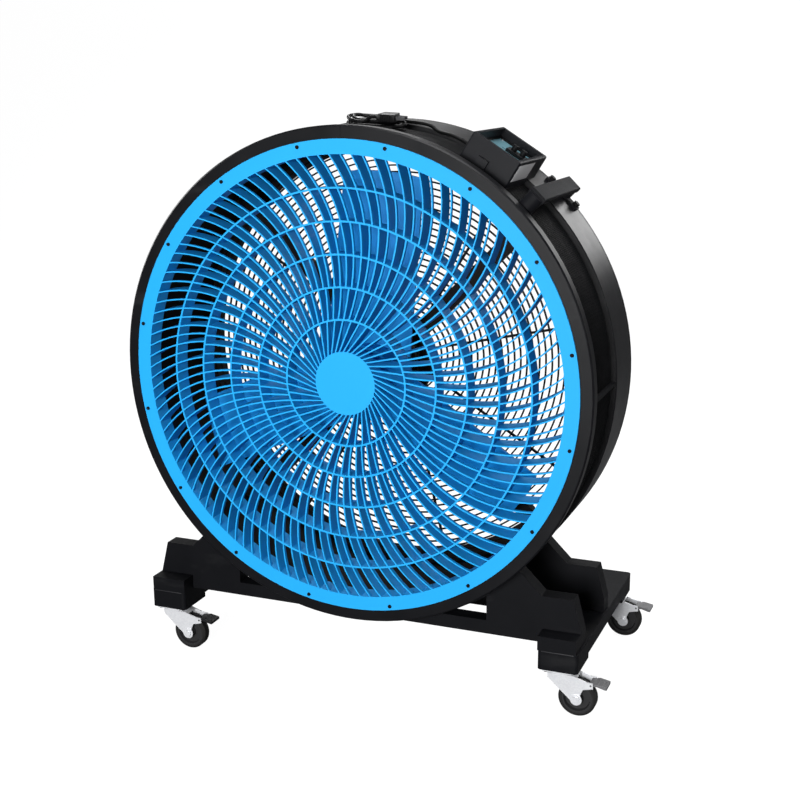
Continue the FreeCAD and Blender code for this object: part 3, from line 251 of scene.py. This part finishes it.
def makeCord(plan):
    hank = hankFrame(plan)
    start = boxFrame @ Vector(plan["gland"])
    leave = boxFrame.to_3x3() @ Vector((-1, 0, 0))
    widest = plan["inner"] + (2 * plan["turns"] - 1) * plan["step"] / 2
    tail = Vector((plan["run"] / 2 + plan["tail"], widest, 0))
    route = [start, start + leave * plan["glandRun"], Vector(plan["bow"]),
             hank @ (tail + Vector((plan["arrive"], 0, 0)))]
    turns = hankPoints(plan)
    fanned = Matrix.Rotation(math.radians(plan["fan"]), 4, "Z")
    for number, spot in enumerate(turns):
        # the upper layer lies a little askew, but not the end that goes into the plug
        askew = spot[2] > 0.5 * plan["rise"] and number < len(turns) - plan["endPoints"]
        route.append(hank @ (fanned @ Vector(spot) if askew else Vector(spot)))
    curve = bpy.data.curves.new("power_cord", "CURVE")
    curve.dimensions = "3D"
    spline = curve.splines.new("NURBS")
    spline.points.add(len(route) - 1)
    for point, spot in zip(spline.points, route):
        point.co = (spot.x, spot.y, spot.z, 1)
    spline.order_u = plan["order"]
    spline.use_endpoint_u = True
    spline.resolution_u = plan["fineAlong"]
    curve.bevel_depth = plan["diameter"] / 2
    curve.bevel_resolution = plan["fineRound"]
    curve.use_fill_caps = True
    cord = bpy.data.objects.new("power_cord", curve)
    bpy.context.scene.collection.objects.link(cord)
    return cord, start


powerCord, cordExit = makeCord(cordPlan)
print("cord laid")

# shared effects, each built once as a node group
vectorSocket = "NodeSocketVector"
valueSocket = "NodeSocketFloat"
mixSocket = {"share": 0, "first": 6, "second": 7, "result": 2}  # of a Mix node set to colour


def newGroup(name, inputs, outputs):
    group = bpy.data.node_groups.new(name, "ShaderNodeTree")
    for label, kind in inputs.items():
        group.interface.new_socket(name=label, in_out="INPUT", socket_type=kind)
    for label, kind in outputs.items():
        group.interface.new_socket(name=label, in_out="OUTPUT", socket_type=kind)
    start = group.nodes.new("NodeGroupInput")
    end = group.nodes.new("NodeGroupOutput")
    return group, start, end


grainPlan = {"fineDetail": 3, "slowDetail": 5, "slowRough": 0.6}


def makeMouldGrain(plan):
    # fine moulded grain for the bump, and a slow drift of tone
    group, start, end = newGroup(
        "mouldGrain", {"Vector": vectorSocket, "Grain": valueSocket, "Drift": valueSocket},
        {"Height": valueSocket, "Tone": valueSocket})
    fine = group.nodes.new("ShaderNodeTexNoise")
    fine.inputs["Detail"].default_value = plan["fineDetail"]
    slow = group.nodes.new("ShaderNodeTexNoise")
    slow.inputs["Detail"].default_value = plan["slowDetail"]
    slow.inputs["Roughness"].default_value = plan["slowRough"]
    for texture, scale, result in ((fine, "Grain", "Height"), (slow, "Drift", "Tone")):
        group.links.new(start.outputs["Vector"], texture.inputs["Vector"])
        group.links.new(start.outputs[scale], texture.inputs["Scale"])
        group.links.new(texture.outputs["Fac"], end.inputs[result])
    return group


scuffPlan = {"stretch": (1.0, 9.0, 3.0), "turn": (0.3, 0.5, 0.8), "detail": 6, "from": 0.6, "to": 0.78}


def makeScuffs(plan):
    # thin scratches and rubbed spots, as a mask
    group, start, end = newGroup(
        "scuffs", {"Vector": vectorSocket, "Scale": valueSocket, "Amount": valueSocket},
        {"Mask": valueSocket})
    stretch = group.nodes.new("ShaderNodeMapping")
    stretch.inputs["Scale"].default_value = plan["stretch"]
    stretch.inputs["Rotation"].default_value = plan["turn"]
    marks = group.nodes.new("ShaderNodeTexNoise")
    marks.inputs["Detail"].default_value = plan["detail"]
    ramp = group.nodes.new("ShaderNodeMapRange")
    ramp.inputs["From Min"].default_value = plan["from"]
    ramp.inputs["From Max"].default_value = plan["to"]
    scaled = group.nodes.new("ShaderNodeMath")
    scaled.operation = "MULTIPLY"
    group.links.new(start.outputs["Vector"], stretch.inputs["Vector"])
    group.links.new(stretch.outputs["Vector"], marks.inputs["Vector"])
    group.links.new(start.outputs["Scale"], marks.inputs["Scale"])
    group.links.new(marks.outputs["Fac"], ramp.inputs["Value"])
    group.links.new(ramp.outputs["Result"], scaled.inputs[0])
    group.links.new(start.outputs["Amount"], scaled.inputs[1])
    group.links.new(scaled.outputs["Value"], end.inputs["Mask"])
    return group


def makeSpangle():
    # crystal flakes of zinc plating
    group, start, end = newGroup(
        "spangle", {"Vector": vectorSocket, "Scale": valueSocket}, {"Flake": valueSocket})
    flakes = group.nodes.new("ShaderNodeTexVoronoi")
    split = group.nodes.new("ShaderNodeSeparateColor")
    group.links.new(start.outputs["Vector"], flakes.inputs["Vector"])
    group.links.new(start.outputs["Scale"], flakes.inputs["Scale"])
    group.links.new(flakes.outputs["Color"], split.inputs["Color"])
    group.links.new(split.outputs["Red"], end.inputs["Flake"])
    return group


mouldGrain = makeMouldGrain(grainPlan)
scuffs = makeScuffs(scuffPlan)
spangle = makeSpangle()

# what a finish has if its own plan doesn't say otherwise
plainFinish = {"grain": 900, "drift": 9, "toneRange": (0.3, 0.7), "bump": 0.15, "bumpDepth": 0.0004,
               "flake": 0, "scuff": 0, "scuffScale": 6, "worn": (0.25, 0.25, 0.25), "metal": 0,
               "gloss": 0.5, "coat": 0, "coatRough": 0.25}


def makeFinish(name, ownPlan):
    # one finish: two tones, grain in the bump, scuffs that show a worn tone
    plan = {**plainFinish, **ownPlan}
    material = bpy.data.materials.new(name)
    material.use_nodes = True
    tree = material.node_tree
    shader = tree.nodes["Principled BSDF"]
    coords = tree.nodes.new("ShaderNodeTexCoord")
    grain = tree.nodes.new("ShaderNodeGroup")
    grain.node_tree = mouldGrain
    grain.inputs["Grain"].default_value = plan["grain"]
    grain.inputs["Drift"].default_value = plan["drift"]
    tree.links.new(coords.outputs["Object"], grain.inputs["Vector"])
    tones = tree.nodes.new("ShaderNodeMix")
    tones.data_type = "RGBA"
    tones.inputs[mixSocket["first"]].default_value = (*plan["color"], 1)
    tones.inputs[mixSocket["second"]].default_value = (*plan["second"], 1)
    tree.links.new(grain.outputs["Tone"], tones.inputs[mixSocket["share"]])
    color = tones.outputs[mixSocket["result"]]
    rough = tree.nodes.new("ShaderNodeMapRange")
    rough.inputs["From Min"].default_value = plan["toneRange"][0]
    rough.inputs["From Max"].default_value = plan["toneRange"][1]
    rough.inputs["To Min"].default_value = plan["rough"][0]
    rough.inputs["To Max"].default_value = plan["rough"][1]
    tree.links.new(grain.outputs["Tone"], rough.inputs["Value"])
    if plan["flake"]:
        flakes = tree.nodes.new("ShaderNodeGroup")
        flakes.node_tree = spangle
        flakes.inputs["Scale"].default_value = plan["flake"]
        tree.links.new(coords.outputs["Object"], flakes.inputs["Vector"])
        tree.links.new(flakes.outputs["Flake"], tones.inputs[mixSocket["share"]])
        tree.links.new(flakes.outputs["Flake"], rough.inputs["Value"])
    if plan["scuff"]:
        marks = tree.nodes.new("ShaderNodeGroup")
        marks.node_tree = scuffs
        marks.inputs["Scale"].default_value = plan["scuffScale"]
        marks.inputs["Amount"].default_value = plan["scuff"]
        tree.links.new(coords.outputs["Object"], marks.inputs["Vector"])
        worn = tree.nodes.new("ShaderNodeMix")
        worn.data_type = "RGBA"
        worn.inputs[mixSocket["second"]].default_value = (*plan["worn"], 1)
        tree.links.new(marks.outputs["Mask"], worn.inputs[mixSocket["share"]])
        tree.links.new(color, worn.inputs[mixSocket["first"]])
        color = worn.outputs[mixSocket["result"]]
    tree.links.new(color, shader.inputs["Base Color"])
    tree.links.new(rough.outputs["Result"], shader.inputs["Roughness"])
    bump = tree.nodes.new("ShaderNodeBump")
    bump.inputs["Strength"].default_value = plan["bump"]
    bump.inputs["Distance"].default_value = plan["bumpDepth"]
    tree.links.new(grain.outputs["Height"], bump.inputs["Height"])
    tree.links.new(bump.outputs["Normal"], shader.inputs["Normal"])
    shader.inputs["Metallic"].default_value = plan["metal"]
    shader.inputs["Specular IOR Level"].default_value = plan["gloss"]
    shader.inputs["Coat Weight"].default_value = plan["coat"]
    shader.inputs["Coat Roughness"].default_value = plan["coatRough"]
    return material


finishes = {
    "drumPlastic": {"color": (0.0026, 0.0028, 0.0036), "second": (0.0042, 0.0045, 0.0056),
                    "rough": (0.50, 0.62), "grain": 1400, "bump": 0.10, "scuff": 0.04, "gloss": 0.08},
    "ringPlastic": {"color": (0.0030, 0.0032, 0.0042), "second": (0.0048, 0.0051, 0.0064),
                    "rough": (0.34, 0.44), "grain": 1100, "bump": 0.08, "scuff": 0.05, "gloss": 0.18},
    "bandPlastic": {"color": (0.0030, 0.0032, 0.0042), "second": (0.0048, 0.0051, 0.0064),
                    "rough": (0.30, 0.40), "grain": 1100, "bump": 0.08, "scuff": 0.05, "gloss": 0.30},
    "azurePlastic": {"color": (0.013, 0.330, 0.735), "second": (0.017, 0.352, 0.770),
                     "rough": (0.45, 0.55), "grain": 700, "bump": 0.04, "drift": 5, "gloss": 0.14},
    # the grille's azure plastic made darker for the blades and hub: painted shade from the grille in
    # front of them
    "azureBladePaintedShade": {"color": (0.007, 0.210, 0.560), "second": (0.009, 0.232, 0.595),
                     "rough": (0.42, 0.54), "grain": 600, "bump": 0.05, "drift": 6, "gloss": 0.14},
    "powderCoat": {"color": (0.0030, 0.0031, 0.0034), "second": (0.0055, 0.0056, 0.0060),
                   "rough": (0.42, 0.55), "grain": 2200, "bump": 0.22, "gloss": 0.10},
    "basePlastic": {"color": (0.0030, 0.0032, 0.0042), "second": (0.0050, 0.0053, 0.0067),
                    "rough": (0.46, 0.60), "grain": 1600, "bump": 0.20, "scuff": 0.05, "gloss": 0.10},
    "boxPlastic": {"color": (0.0040, 0.0043, 0.0058), "second": (0.0065, 0.0070, 0.0090),
                   "rough": (0.40, 0.52), "grain": 1800, "bump": 0.18, "scuff": 0.04, "gloss": 0.12},
    "handlePlastic": {"color": (0.0036, 0.0038, 0.0050), "second": (0.0060, 0.0063, 0.0080),
                      "rough": (0.52, 0.62), "grain": 1800, "bump": 0.18, "scuff": 0.04, "gloss": 0.09},
    # lighter than the feet: a painted highlight for the lip's edge
    "lipPaintedHighlight": {"color": (0.016, 0.016, 0.018), "second": (0.024, 0.024, 0.027),
                   "rough": (0.40, 0.50), "grain": 1600, "bump": 0.10, "gloss": 0.3},
    # teal of the panel, made lighter than the dark green board under the acrylic: partly its own colour,
    # partly a painted reflection that also lifts it out of the box's shade
    "tealPanelPaintedSheen": {"color": (0.095, 0.205, 0.250), "second": (0.125, 0.255, 0.300),
                  "rough": (0.24, 0.32), "grain": 200, "bump": 0.01, "coat": 0.15},
    "knobPlastic": {"color": (0.006, 0.006, 0.007), "second": (0.010, 0.010, 0.011),
                    "rough": (0.34, 0.44), "grain": 1200, "bump": 0.05, "gloss": 0.15},
    "plainSteel": {"color": (0.48, 0.48, 0.49), "second": (0.60, 0.60, 0.61),
                   "rough": (0.24, 0.36), "metal": 1, "grain": 1500, "bump": 0.06},
    "darkScrew": {"color": (0.005, 0.005, 0.006), "second": (0.010, 0.010, 0.010),
                  "rough": (0.3, 0.42), "grain": 1500, "bump": 0.06, "gloss": 0.05},
    "zincPlate": {"color": (0.76, 0.77, 0.80), "second": (0.83, 0.84, 0.86),
                  "rough": (0.28, 0.36), "metal": 0.35, "grain": 1500, "bump": 0.05, "flake": 420,
                  "scuff": 0.10, "worn": (0.45, 0.44, 0.42)},
    "tyreRubber": {"color": (0.007, 0.007, 0.007), "second": (0.014, 0.0135, 0.013),
                   "rough": (0.60, 0.78), "grain": 1300, "bump": 0.3, "drift": 30, "scuff": 0.12,
                   "worn": (0.06, 0.058, 0.055), "gloss": 0.3},
    "hubPlastic": {"color": (0.016, 0.016, 0.017), "second": (0.026, 0.026, 0.027),
                   "rough": (0.4, 0.5), "grain": 1200, "bump": 0.12, "gloss": 0.35},
    "pedalGrey": {"color": (0.10, 0.10, 0.105), "second": (0.15, 0.15, 0.155),
                  "rough": (0.42, 0.56), "grain": 1500, "bump": 0.2, "scuff": 0.2},
    "pedalBlack": {"color": (0.008, 0.008, 0.009), "second": (0.014, 0.014, 0.015),
                   "rough": (0.42, 0.56), "grain": 1500, "bump": 0.2, "scuff": 0.10, "gloss": 0.3},
    "cordRubber": {"color": (0.0026, 0.0027, 0.0030), "second": (0.0045, 0.0046, 0.0050),
                   "rough": (0.36, 0.46), "grain": 1700, "bump": 0.12, "drift": 40, "gloss": 0.10},
    "pinNickel": {"color": (0.085, 0.085, 0.090), "second": (0.12, 0.12, 0.125),
                  "rough": (0.26, 0.38), "metal": 0.8, "grain": 900, "bump": 0.05},
    "blankPlate": {"color": (0.36, 0.36, 0.37), "second": (0.42, 0.42, 0.43),
                   "rough": (0.45, 0.55), "grain": 900, "bump": 0.05, "gloss": 0.3},
    "markWhite": {"color": (0.30, 0.31, 0.32), "second": (0.36, 0.37, 0.38),
                  "rough": (0.5, 0.6), "grain": 900, "bump": 0.05, "gloss": 0.2},
}
made = {name: makeFinish(name, plan) for name, plan in finishes.items()}
print("finishes made:", len(made))

# finish of each solid that stays in view
nodeFinish = {
    "drum_shell": "drumPlastic", "front_ring": "ringPlastic", "rear_ring": "bandPlastic",
    "front_grille": "azurePlastic", "grille_screws": "darkScrew", "rear_guard": "powderCoat",
    "motor_bracket": "powderCoat", "motor_housing": "powderCoat", "motor_front_cap": "powderCoat",
    "motor_rear_cap": "powderCoat", "front_bearing": "plainSteel", "rear_bearing": "plainSteel",
    # the hub and blades take the azure with painted shade
    "motor_shaft": "plainSteel", "hub_nut": "plainSteel", "fan_hub": "azureBladePaintedShade",
    "blade_1": "azureBladePaintedShade", "blade_2": "azureBladePaintedShade", "blade_3": "azureBladePaintedShade",
    "control_housing": "boxPlastic", "control_bracket": "boxPlastic", "control_panel": "tealPanelPaintedSheen",
    "control_module": "knobPlastic", "speed_knob": "knobPlastic", "timer_knob": "knobPlastic",
    "carry_handle": "handlePlastic", "handle_bolts": "darkScrew", "cord_gland": "cordRubber",
    "plug_pins": "pinNickel", "left_foot": "basePlastic", "right_foot": "basePlastic",
    "front_cradle": "basePlastic", "rear_cradle": "basePlastic", "base_bolts": "plainSteel",
    "caster_plates": "zincPlate", "caster_screws": "plainSteel"}
pedalFinish = {corner: "pedalGrey" for corner in casterNames}
pedalFinish["front_left"] = "pedalBlack"
for corner in casterNames:
    nodeFinish["fork_" + corner] = "zincPlate"
    nodeFinish["axle_" + corner] = "zincPlate"
    nodeFinish["tyre_" + corner] = "tyreRubber"
    nodeFinish["wheel_hub_" + corner] = "hubPlastic"
    nodeFinish["brake_pedal_" + corner] = pedalFinish[corner]
for name, finish in nodeFinish.items():
    nodes[name].data.materials.clear()
    nodes[name].data.materials.append(made[finish])
    smoothSides(nodes[name], solidSmooth)
print("solids finished")

# cord, its plug and its strain relief
powerCord.data.materials.append(made["cordRubber"])
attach(powerCord, "frame")
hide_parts("cord_lead", "cord_hank")

plugPlan = {"length": 0.042, "wide": 0.028, "tall": 0.015, "shoulder": 0.012, "neck": (0.36, 0.62),
            "grips": 4, "gripFirst": 0.017, "gripWide": 0.0024, "gripStep": 0.0048, "gripDeep": 0.0009,
            "gripInset": 0.0004, "gripNear": 0.0005, "edge": 0.0016, "segments": 3, "smooth": 40}


def makePlug(plan):
    # a neck that widens to a flat body, with grip grooves on its two narrow sides
    clearSelection()
    bpy.ops.mesh.primitive_cube_add(size=1, location=(plan["length"] / 2, 0, 0),
                                    scale=(plan["length"], plan["wide"], plan["tall"]))
    plug = bpy.context.object
    plug.name = "plug_grip"
    settle(plug)
    bpy.ops.object.mode_set(mode="EDIT")
    bpy.ops.mesh.select_all(action="SELECT")
    bpy.ops.mesh.bisect(plane_co=(plan["shoulder"], 0, 0), plane_no=(1, 0, 0))
    leaveEdit()
    pick(plug, "FACE", lambda face: face.normal.x < -facing)
    bpy.ops.transform.resize(value=(1, *plan["neck"]))
    bpy.ops.mesh.select_all(action="SELECT")
    bpy.ops.mesh.bevel(offset=plan["edge"], segments=plan["segments"], affect="EDGES")
    grooves = [plan["gripFirst"] + k * plan["gripStep"] for k in range(plan["grips"])]
    for groove in grooves:
        for cut in (groove, groove + plan["gripWide"]):
            bpy.ops.mesh.select_all(action="SELECT")
            bpy.ops.mesh.bisect(plane_co=(cut, 0, 0), plane_no=(1, 0, 0))
    leaveEdit()
    middles = [groove + plan["gripWide"] / 2 for groove in grooves]
    pick(plug, "FACE", lambda face: abs(face.normal.y) > facing and any(
        abs(face.center.x - middle) < plan["gripNear"] for middle in middles))
    bpy.ops.mesh.inset(thickness=plan["gripInset"], depth=-plan["gripDeep"], use_individual=True)
    leaveEdit()
    end = Matrix.Translation(hankPoints(cordPlan)[-1])
    settle(plug, hankFrame(cordPlan) @ end)
    smoothSides(plug, plan["smooth"])
    return finishPiece(plug, made["cordRubber"], "frame")


plugGrip = makePlug(plugPlan)
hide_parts("plug_body")
print("plug made")


def splineLength(curveObject):
    plain = curveObject.data.copy()
    plain.bevel_depth = 0
    probe = bpy.data.objects.new("cordProbe", plain)
    bpy.context.scene.collection.objects.link(probe)
    line = bpy.data.meshes.new_from_object(probe)
    spots = [v.co.copy() for v in line.vertices]
    bpy.data.objects.remove(probe)
    return sum((spots[i + 1] - spots[i]).length for i in range(len(spots) - 1))


cordLength = splineLength(powerCord)
print("cord length %.3f" % cordLength)

reliefPlan = {"length": 0.020, "wide": 0.0058, "slim": 0.0042, "sides": 28, "rings": 5, "groove": 0.0007,
              "near": 0.00001, "smooth": 50}


def makeStrainRelief(plan):
    # a tapered sleeve with rings, round the first stretch of the lead
    clearSelection()
    bpy.ops.mesh.primitive_cone_add(vertices=plan["sides"], radius1=plan["wide"], radius2=plan["slim"],
                                    depth=plan["length"], location=(0, 0, plan["length"] / 2))
    sleeve = bpy.context.object
    settle(sleeve)
    bpy.ops.object.mode_set(mode="EDIT")
    cuts = 2 * plan["rings"]
    levels = [plan["length"] * k / cuts for k in range(1, cuts)]
    for level in levels:
        bpy.ops.mesh.select_all(action="SELECT")
        bpy.ops.mesh.bisect(plane_co=(0, 0, level), plane_no=(0, 0, 1))
    leaveEdit()
    # every second cut is drawn in, so that rings stand between the grooves
    for level in levels[::2]:
        radius = plan["wide"] + (plan["slim"] - plan["wide"]) * level / plan["length"]
        shrink = 1 - plan["groove"] / radius
        pick(sleeve, "VERT", lambda vertex: abs(vertex.co.z - level) < plan["near"])
        bpy.ops.transform.resize(value=(shrink, shrink, 1), center_override=(0, 0, level))
        leaveEdit()
    along = Matrix.Rotation(math.radians(-90), 4, "Y")
    settle(sleeve, boxFrame @ Matrix.Translation(cordPlan["gland"]) @ along)
    smoothSides(sleeve, plan["smooth"])
    sleeve.name = "strain_relief"
    return finishPiece(sleeve, made["cordRubber"], "frame")


makeStrainRelief(reliefPlan)
print("strain relief made")

# control box, in its own frame: gasket, panel screws, dial marks and a blank plate on the end
boxPlan = {"half": 0.0455, "front": -0.172, "back": -0.016, "floor": 0.024,
           "moduleAt": (0.0144, -0.072), "moduleTop": 0.030, "knobStep": 0.019}
gasketPlan = {"gap": 0.0012, "tall": 0.0022, "rim": 0.0045, "edge": 0.0006, "segments": 2}


def makeGasket(plan, box):
    clearSelection()
    width, length = 2 * box["half"], box["back"] - box["front"]
    middle = (0, (box["front"] + box["back"]) / 2, box["floor"] + plan["tall"] / 2)
    bpy.ops.mesh.primitive_cube_add(size=1, location=middle,
                                    scale=(width - plan["gap"], length - plan["gap"], plan["tall"]))
    gasket = bpy.context.object
    settle(gasket)
    pick(gasket, "FACE", lambda face: abs(face.normal.z) > facing)
    bpy.ops.mesh.inset(thickness=plan["rim"])
    bpy.ops.mesh.bridge_edge_loops()
    leaveEdit()
    roundEdges(gasket, plan["edge"], plan["segments"])
    settle(gasket, boxFrame)
    smoothSides(gasket)
    gasket.name = "panel_gasket"
    return finishPiece(gasket, made["cordRubber"], "frame")


screwPlan = {"radius": 0.0027, "tall": 0.0016, "sides": 24, "inset": 0.011, "rim": 0.0005,
             "slope": 0.0008, "deep": 0.0009}


def makePanelScrews(plan, box):
    clearSelection()
    bpy.ops.mesh.primitive_cylinder_add(vertices=plan["sides"], radius=plan["radius"], depth=plan["tall"])
    screw = bpy.context.object
    pick(screw, "FACE", lambda face: face.normal.z > facing)
    bpy.ops.mesh.inset(thickness=plan["rim"])
    bpy.ops.mesh.inset(thickness=plan["slope"])
    bpy.ops.mesh.extrude_region_move(TRANSFORM_OT_translate={"value": (0, 0, -plan["deep"])})
    leaveEdit()
    smoothSides(screw)
    level = box["floor"] + plan["tall"] / 2
    places = []
    for across in (-1, 1):
        for end in (box["front"] + plan["inset"], box["back"] - plan["inset"]):
            at = (across * (box["half"] - plan["inset"]), end, level)
            places.append(boxFrame @ Matrix.Translation(at))
    screws = copyTo(screw, places, "panel_screws")
    bpy.data.objects.remove(screw)
    return finishPiece(screws, made["plainSteel"], "frame")


dialPlan = {"ticks": 9, "first": -135, "step": 33.75, "reach": 0.0078, "size": (0.0004, 0.0014, 0.0003),
            "edge": 0.0001, "segments": 1, "proud": 0.00018}


def makeDialMarks(plan, box):
    # plain ticks round each knob, on the module's face
    tick = softBox("tick", plan["size"], plan["edge"], plan["segments"])
    middle, front = box["moduleAt"]
    places = []
    for side in (-1, 1):
        for k in range(plan["ticks"]):
            angle = math.radians(plan["first"] + k * plan["step"])
            at = (middle + side * box["knobStep"] / 2 + plan["reach"] * math.sin(angle),
                  front + plan["reach"] * math.cos(angle), box["moduleTop"] + plan["proud"])
            places.append(boxFrame @ Matrix.Translation(at) @ Matrix.Rotation(-angle, 4, "Z"))
    ticks = copyTo(tick, places, "dial_marks")
    bpy.data.objects.remove(tick)
    return finishPiece(ticks, made["markWhite"], "frame")


platePlan = {"size": (0.0007, 0.096, 0.034), "wall": 0.0535, "proud": 0.00036, "along": -0.126,
             "level": 0.019, "edge": 0.0003}


def makeBlankPlate(plan):
    at = (plan["wall"] + plan["proud"], plan["along"], plan["level"])
    plate = softBox("blank_plate", plan["size"], plan["edge"], at=at)
    settle(plate, boxFrame)
    return finishPiece(plate, made["blankPlate"], "frame")


makeGasket(gasketPlan, boxPlan)
makePanelScrews(screwPlan, boxPlan)
makeDialMarks(dialPlan, boxPlan)
makeBlankPlate(platePlan)
print("control box dressed")

# ribs on each brake pedal, down its slope
treadPlan = {"count": 5, "first": 0.0135, "step": 0.0036, "size": (0.0016, 0.029, 0.0016), "edge": 0.0004,
             "top": 0.0042, "slopeFrom": 0.012, "drop": 0.0035, "over": 0.019}


def makeTreads(plan):
    rib = softBox("rib", plan["size"], plan["edge"])
    for corner in casterNames:
        places = []
        for k in range(plan["count"]):
            along = plan["first"] + k * plan["step"]
            top = plan["top"] - (along - plan["slopeFrom"]) * plan["drop"] / plan["over"]
            places.append(Matrix.Translation(jointAt[corner + "_brake"] + Vector((along, 0, top))))
        ribs = copyTo(rib, places, "pedal_tread_" + corner)
        finishPiece(ribs, made[pedalFinish[corner]], "pedal_" + corner)
    bpy.data.objects.remove(rib)


makeTreads(treadPlan)
print("pedal treads made")

# round washers under the axle heads, on both sides of each fork
washerPlan = {"outer": 0.0116, "hole": 0.0072, "thick": 0.0012, "sides": 40, "forkFace": 0.01705,
              "edge": 0.0003, "segments": 2}


def makeWashers(plan):
    clearSelection()
    bpy.ops.mesh.primitive_cylinder_add(vertices=plan["sides"], radius=plan["outer"], depth=plan["thick"],
                                        rotation=(math.radians(90), 0, 0))
    washer = bpy.context.object
    settle(washer)
    pick(washer, "FACE", lambda face: abs(face.normal.y) > facing)
    bpy.ops.mesh.inset(thickness=plan["outer"] - plan["hole"])
    bpy.ops.mesh.bridge_edge_loops()
    leaveEdit()
    roundEdges(washer, plan["edge"], plan["segments"])
    smoothSides(washer)
    aside = Vector((0, plan["forkFace"] + plan["thick"] / 2, 0))
    for corner in casterNames:
        places = [Matrix.Translation(jointAt[corner + "_roll"] + side * aside) for side in (-1, 1)]
        pair = copyTo(washer, places, "axle_washers_" + corner)
        finishPiece(pair, made["zincPlate"], "swivel_" + corner)
    bpy.data.objects.remove(washer)


makeWashers(washerPlan)
print("axle washers made")

# raised lip where each foot meets the cradle's ledge, at the front; its lighter tone is a painted
# highlight along the edge
lipPlan = {"inner": 0.3985, "outer": 0.463, "face": -0.230, "proud": 0.0006, "tall": 0.0018,
           "level": 0.1331, "edge": 0.0004}


def makeFootLip(name, side, plan):
    size = (plan["outer"] - plan["inner"], 2 * plan["proud"], plan["tall"])
    at = (side * (plan["inner"] + plan["outer"]) / 2, plan["face"], plan["level"])
    lip = softBox(name, size, plan["edge"], at=at)
    return finishPiece(lip, made["lipPaintedHighlight"], "frame")


makeFootLip("foot_lip_highlight_left", -1, lipPlan)
makeFootLip("foot_lip_highlight_right", 1, lipPlan)
print("foot lips made")

# studio: pale floor that curves up behind, soft lights, white air
stagePlan = {"half": 9.0, "rise": 7.0, "back": 5.0, "near": 0.01, "bend": 2.0, "segments": 12,
             "smooth": 60, "tone": (0.11, 0.11, 0.113), "rough": 0.9, "glow": 0.96}


def makeStage(plan):
    clearSelection()
    bpy.ops.mesh.primitive_plane_add(size=2 * plan["half"], location=(0, plan["back"] - plan["half"], 0))
    floor = bpy.context.object
    floor.name = "studio_floor"
    settle(floor)
    corners = floor.data.vertices
    pick(floor, "EDGE", lambda edge: all(
        corners[i].co.y > plan["back"] - plan["near"] for i in edge.vertices))
    bpy.ops.mesh.extrude_region_move(TRANSFORM_OT_translate={"value": (0, 0, plan["rise"])})
    leaveEdit()
    roundEdges(floor, plan["bend"], plan["segments"])
    smoothSides(floor, plan["smooth"])
    material = bpy.data.materials.new("stagePale")
    material.use_nodes = True
    tree = material.node_tree
    shader = tree.nodes["Principled BSDF"]
    shader.inputs["Base Color"].default_value = (*plan["tone"], 1)
    shader.inputs["Roughness"].default_value = plan["rough"]
    shader.inputs["Specular IOR Level"].default_value = 0
    shader.inputs["Emission Color"].default_value = (1, 1, 1, 1)
    # the backdrop looks white, yet throws little light back on the black plastic
    path = tree.nodes.new("ShaderNodeLightPath")
    glow = tree.nodes.new("ShaderNodeMath")
    glow.operation = "MULTIPLY"
    glow.inputs[1].default_value = plan["glow"]
    tree.links.new(path.outputs["Is Camera Ray"], glow.inputs[0])
    tree.links.new(glow.outputs["Value"], shader.inputs["Emission Strength"])
    floor.data.materials.append(material)


lightPlan = {
    "frontSoft": {"at": (0.4, -4.6, 1.35), "aim": (0, 0, 0.62), "size": (1.6, 1.6), "power": 268},
    "sideSoft": {"at": (-2.4, -2.4, 2.6), "aim": (0, -0.1, 0.6), "size": (1.6, 1.6), "power": 16},
    "topSoft": {"at": (0.3, 0.2, 3.4), "aim": (0, 0, 0.6), "size": (2.4, 1.4), "power": 92},
    "backSoft": {"at": (0.95, 2.85, 1.6), "aim": (0.3, 0, 0.95), "size": (1.2, 0.8), "power": 11},
    "rearSoft": {"at": (-1.4, 3.0, 4.0), "aim": (0, 0, 0.6), "size": (2.0, 1.6), "power": 110},
    "rightSoft": {"at": (4.0, 0.9, 1.7), "aim": (0, 0, 0.6), "size": (1.8, 1.8), "power": 70},
    "leftSoft": {"at": (-4.0, 0.9, 1.7), "aim": (0, 0, 0.6), "size": (1.8, 1.8), "power": 70},
}


def addLight(name, plan):
    data = bpy.data.lights.new(name, "AREA")
    data.shape = "RECTANGLE"
    data.size, data.size_y = plan["size"]
    data.energy = plan["power"]
    light = bpy.data.objects.new(name, data)
    bpy.context.scene.collection.objects.link(light)
    light.location = plan["at"]
    aim = Vector(plan["aim"]) - Vector(plan["at"])
    light.rotation_euler = aim.to_track_quat("-Z", "Y").to_euler()


airPlan = {"fill": 0.05, "seen": 0.95}


def makeAir(plan):
    # air that looks white from every side, yet lights the fan only a little
    world = bpy.data.worlds.new("studioAir")
    world.use_nodes = True
    tree = world.node_tree
    background = tree.nodes["Background"]
    background.inputs["Color"].default_value = (1, 1, 1, 1)
    path = tree.nodes.new("ShaderNodeLightPath")
    strength = tree.nodes.new("ShaderNodeMath")
    strength.operation = "MULTIPLY_ADD"
    strength.inputs[1].default_value = plan["seen"]
    strength.inputs[2].default_value = plan["fill"]
    tree.links.new(path.outputs["Is Camera Ray"], strength.inputs[0])
    tree.links.new(strength.outputs["Value"], background.inputs["Strength"])
    bpy.context.scene.world = world


makeStage(stagePlan)
for name, plan in lightPlan.items():
    addLight(name, plan)
makeAir(airPlan)
bpy.context.scene.view_settings.view_transform = "Standard"
print("studio lit")

clearSelection()
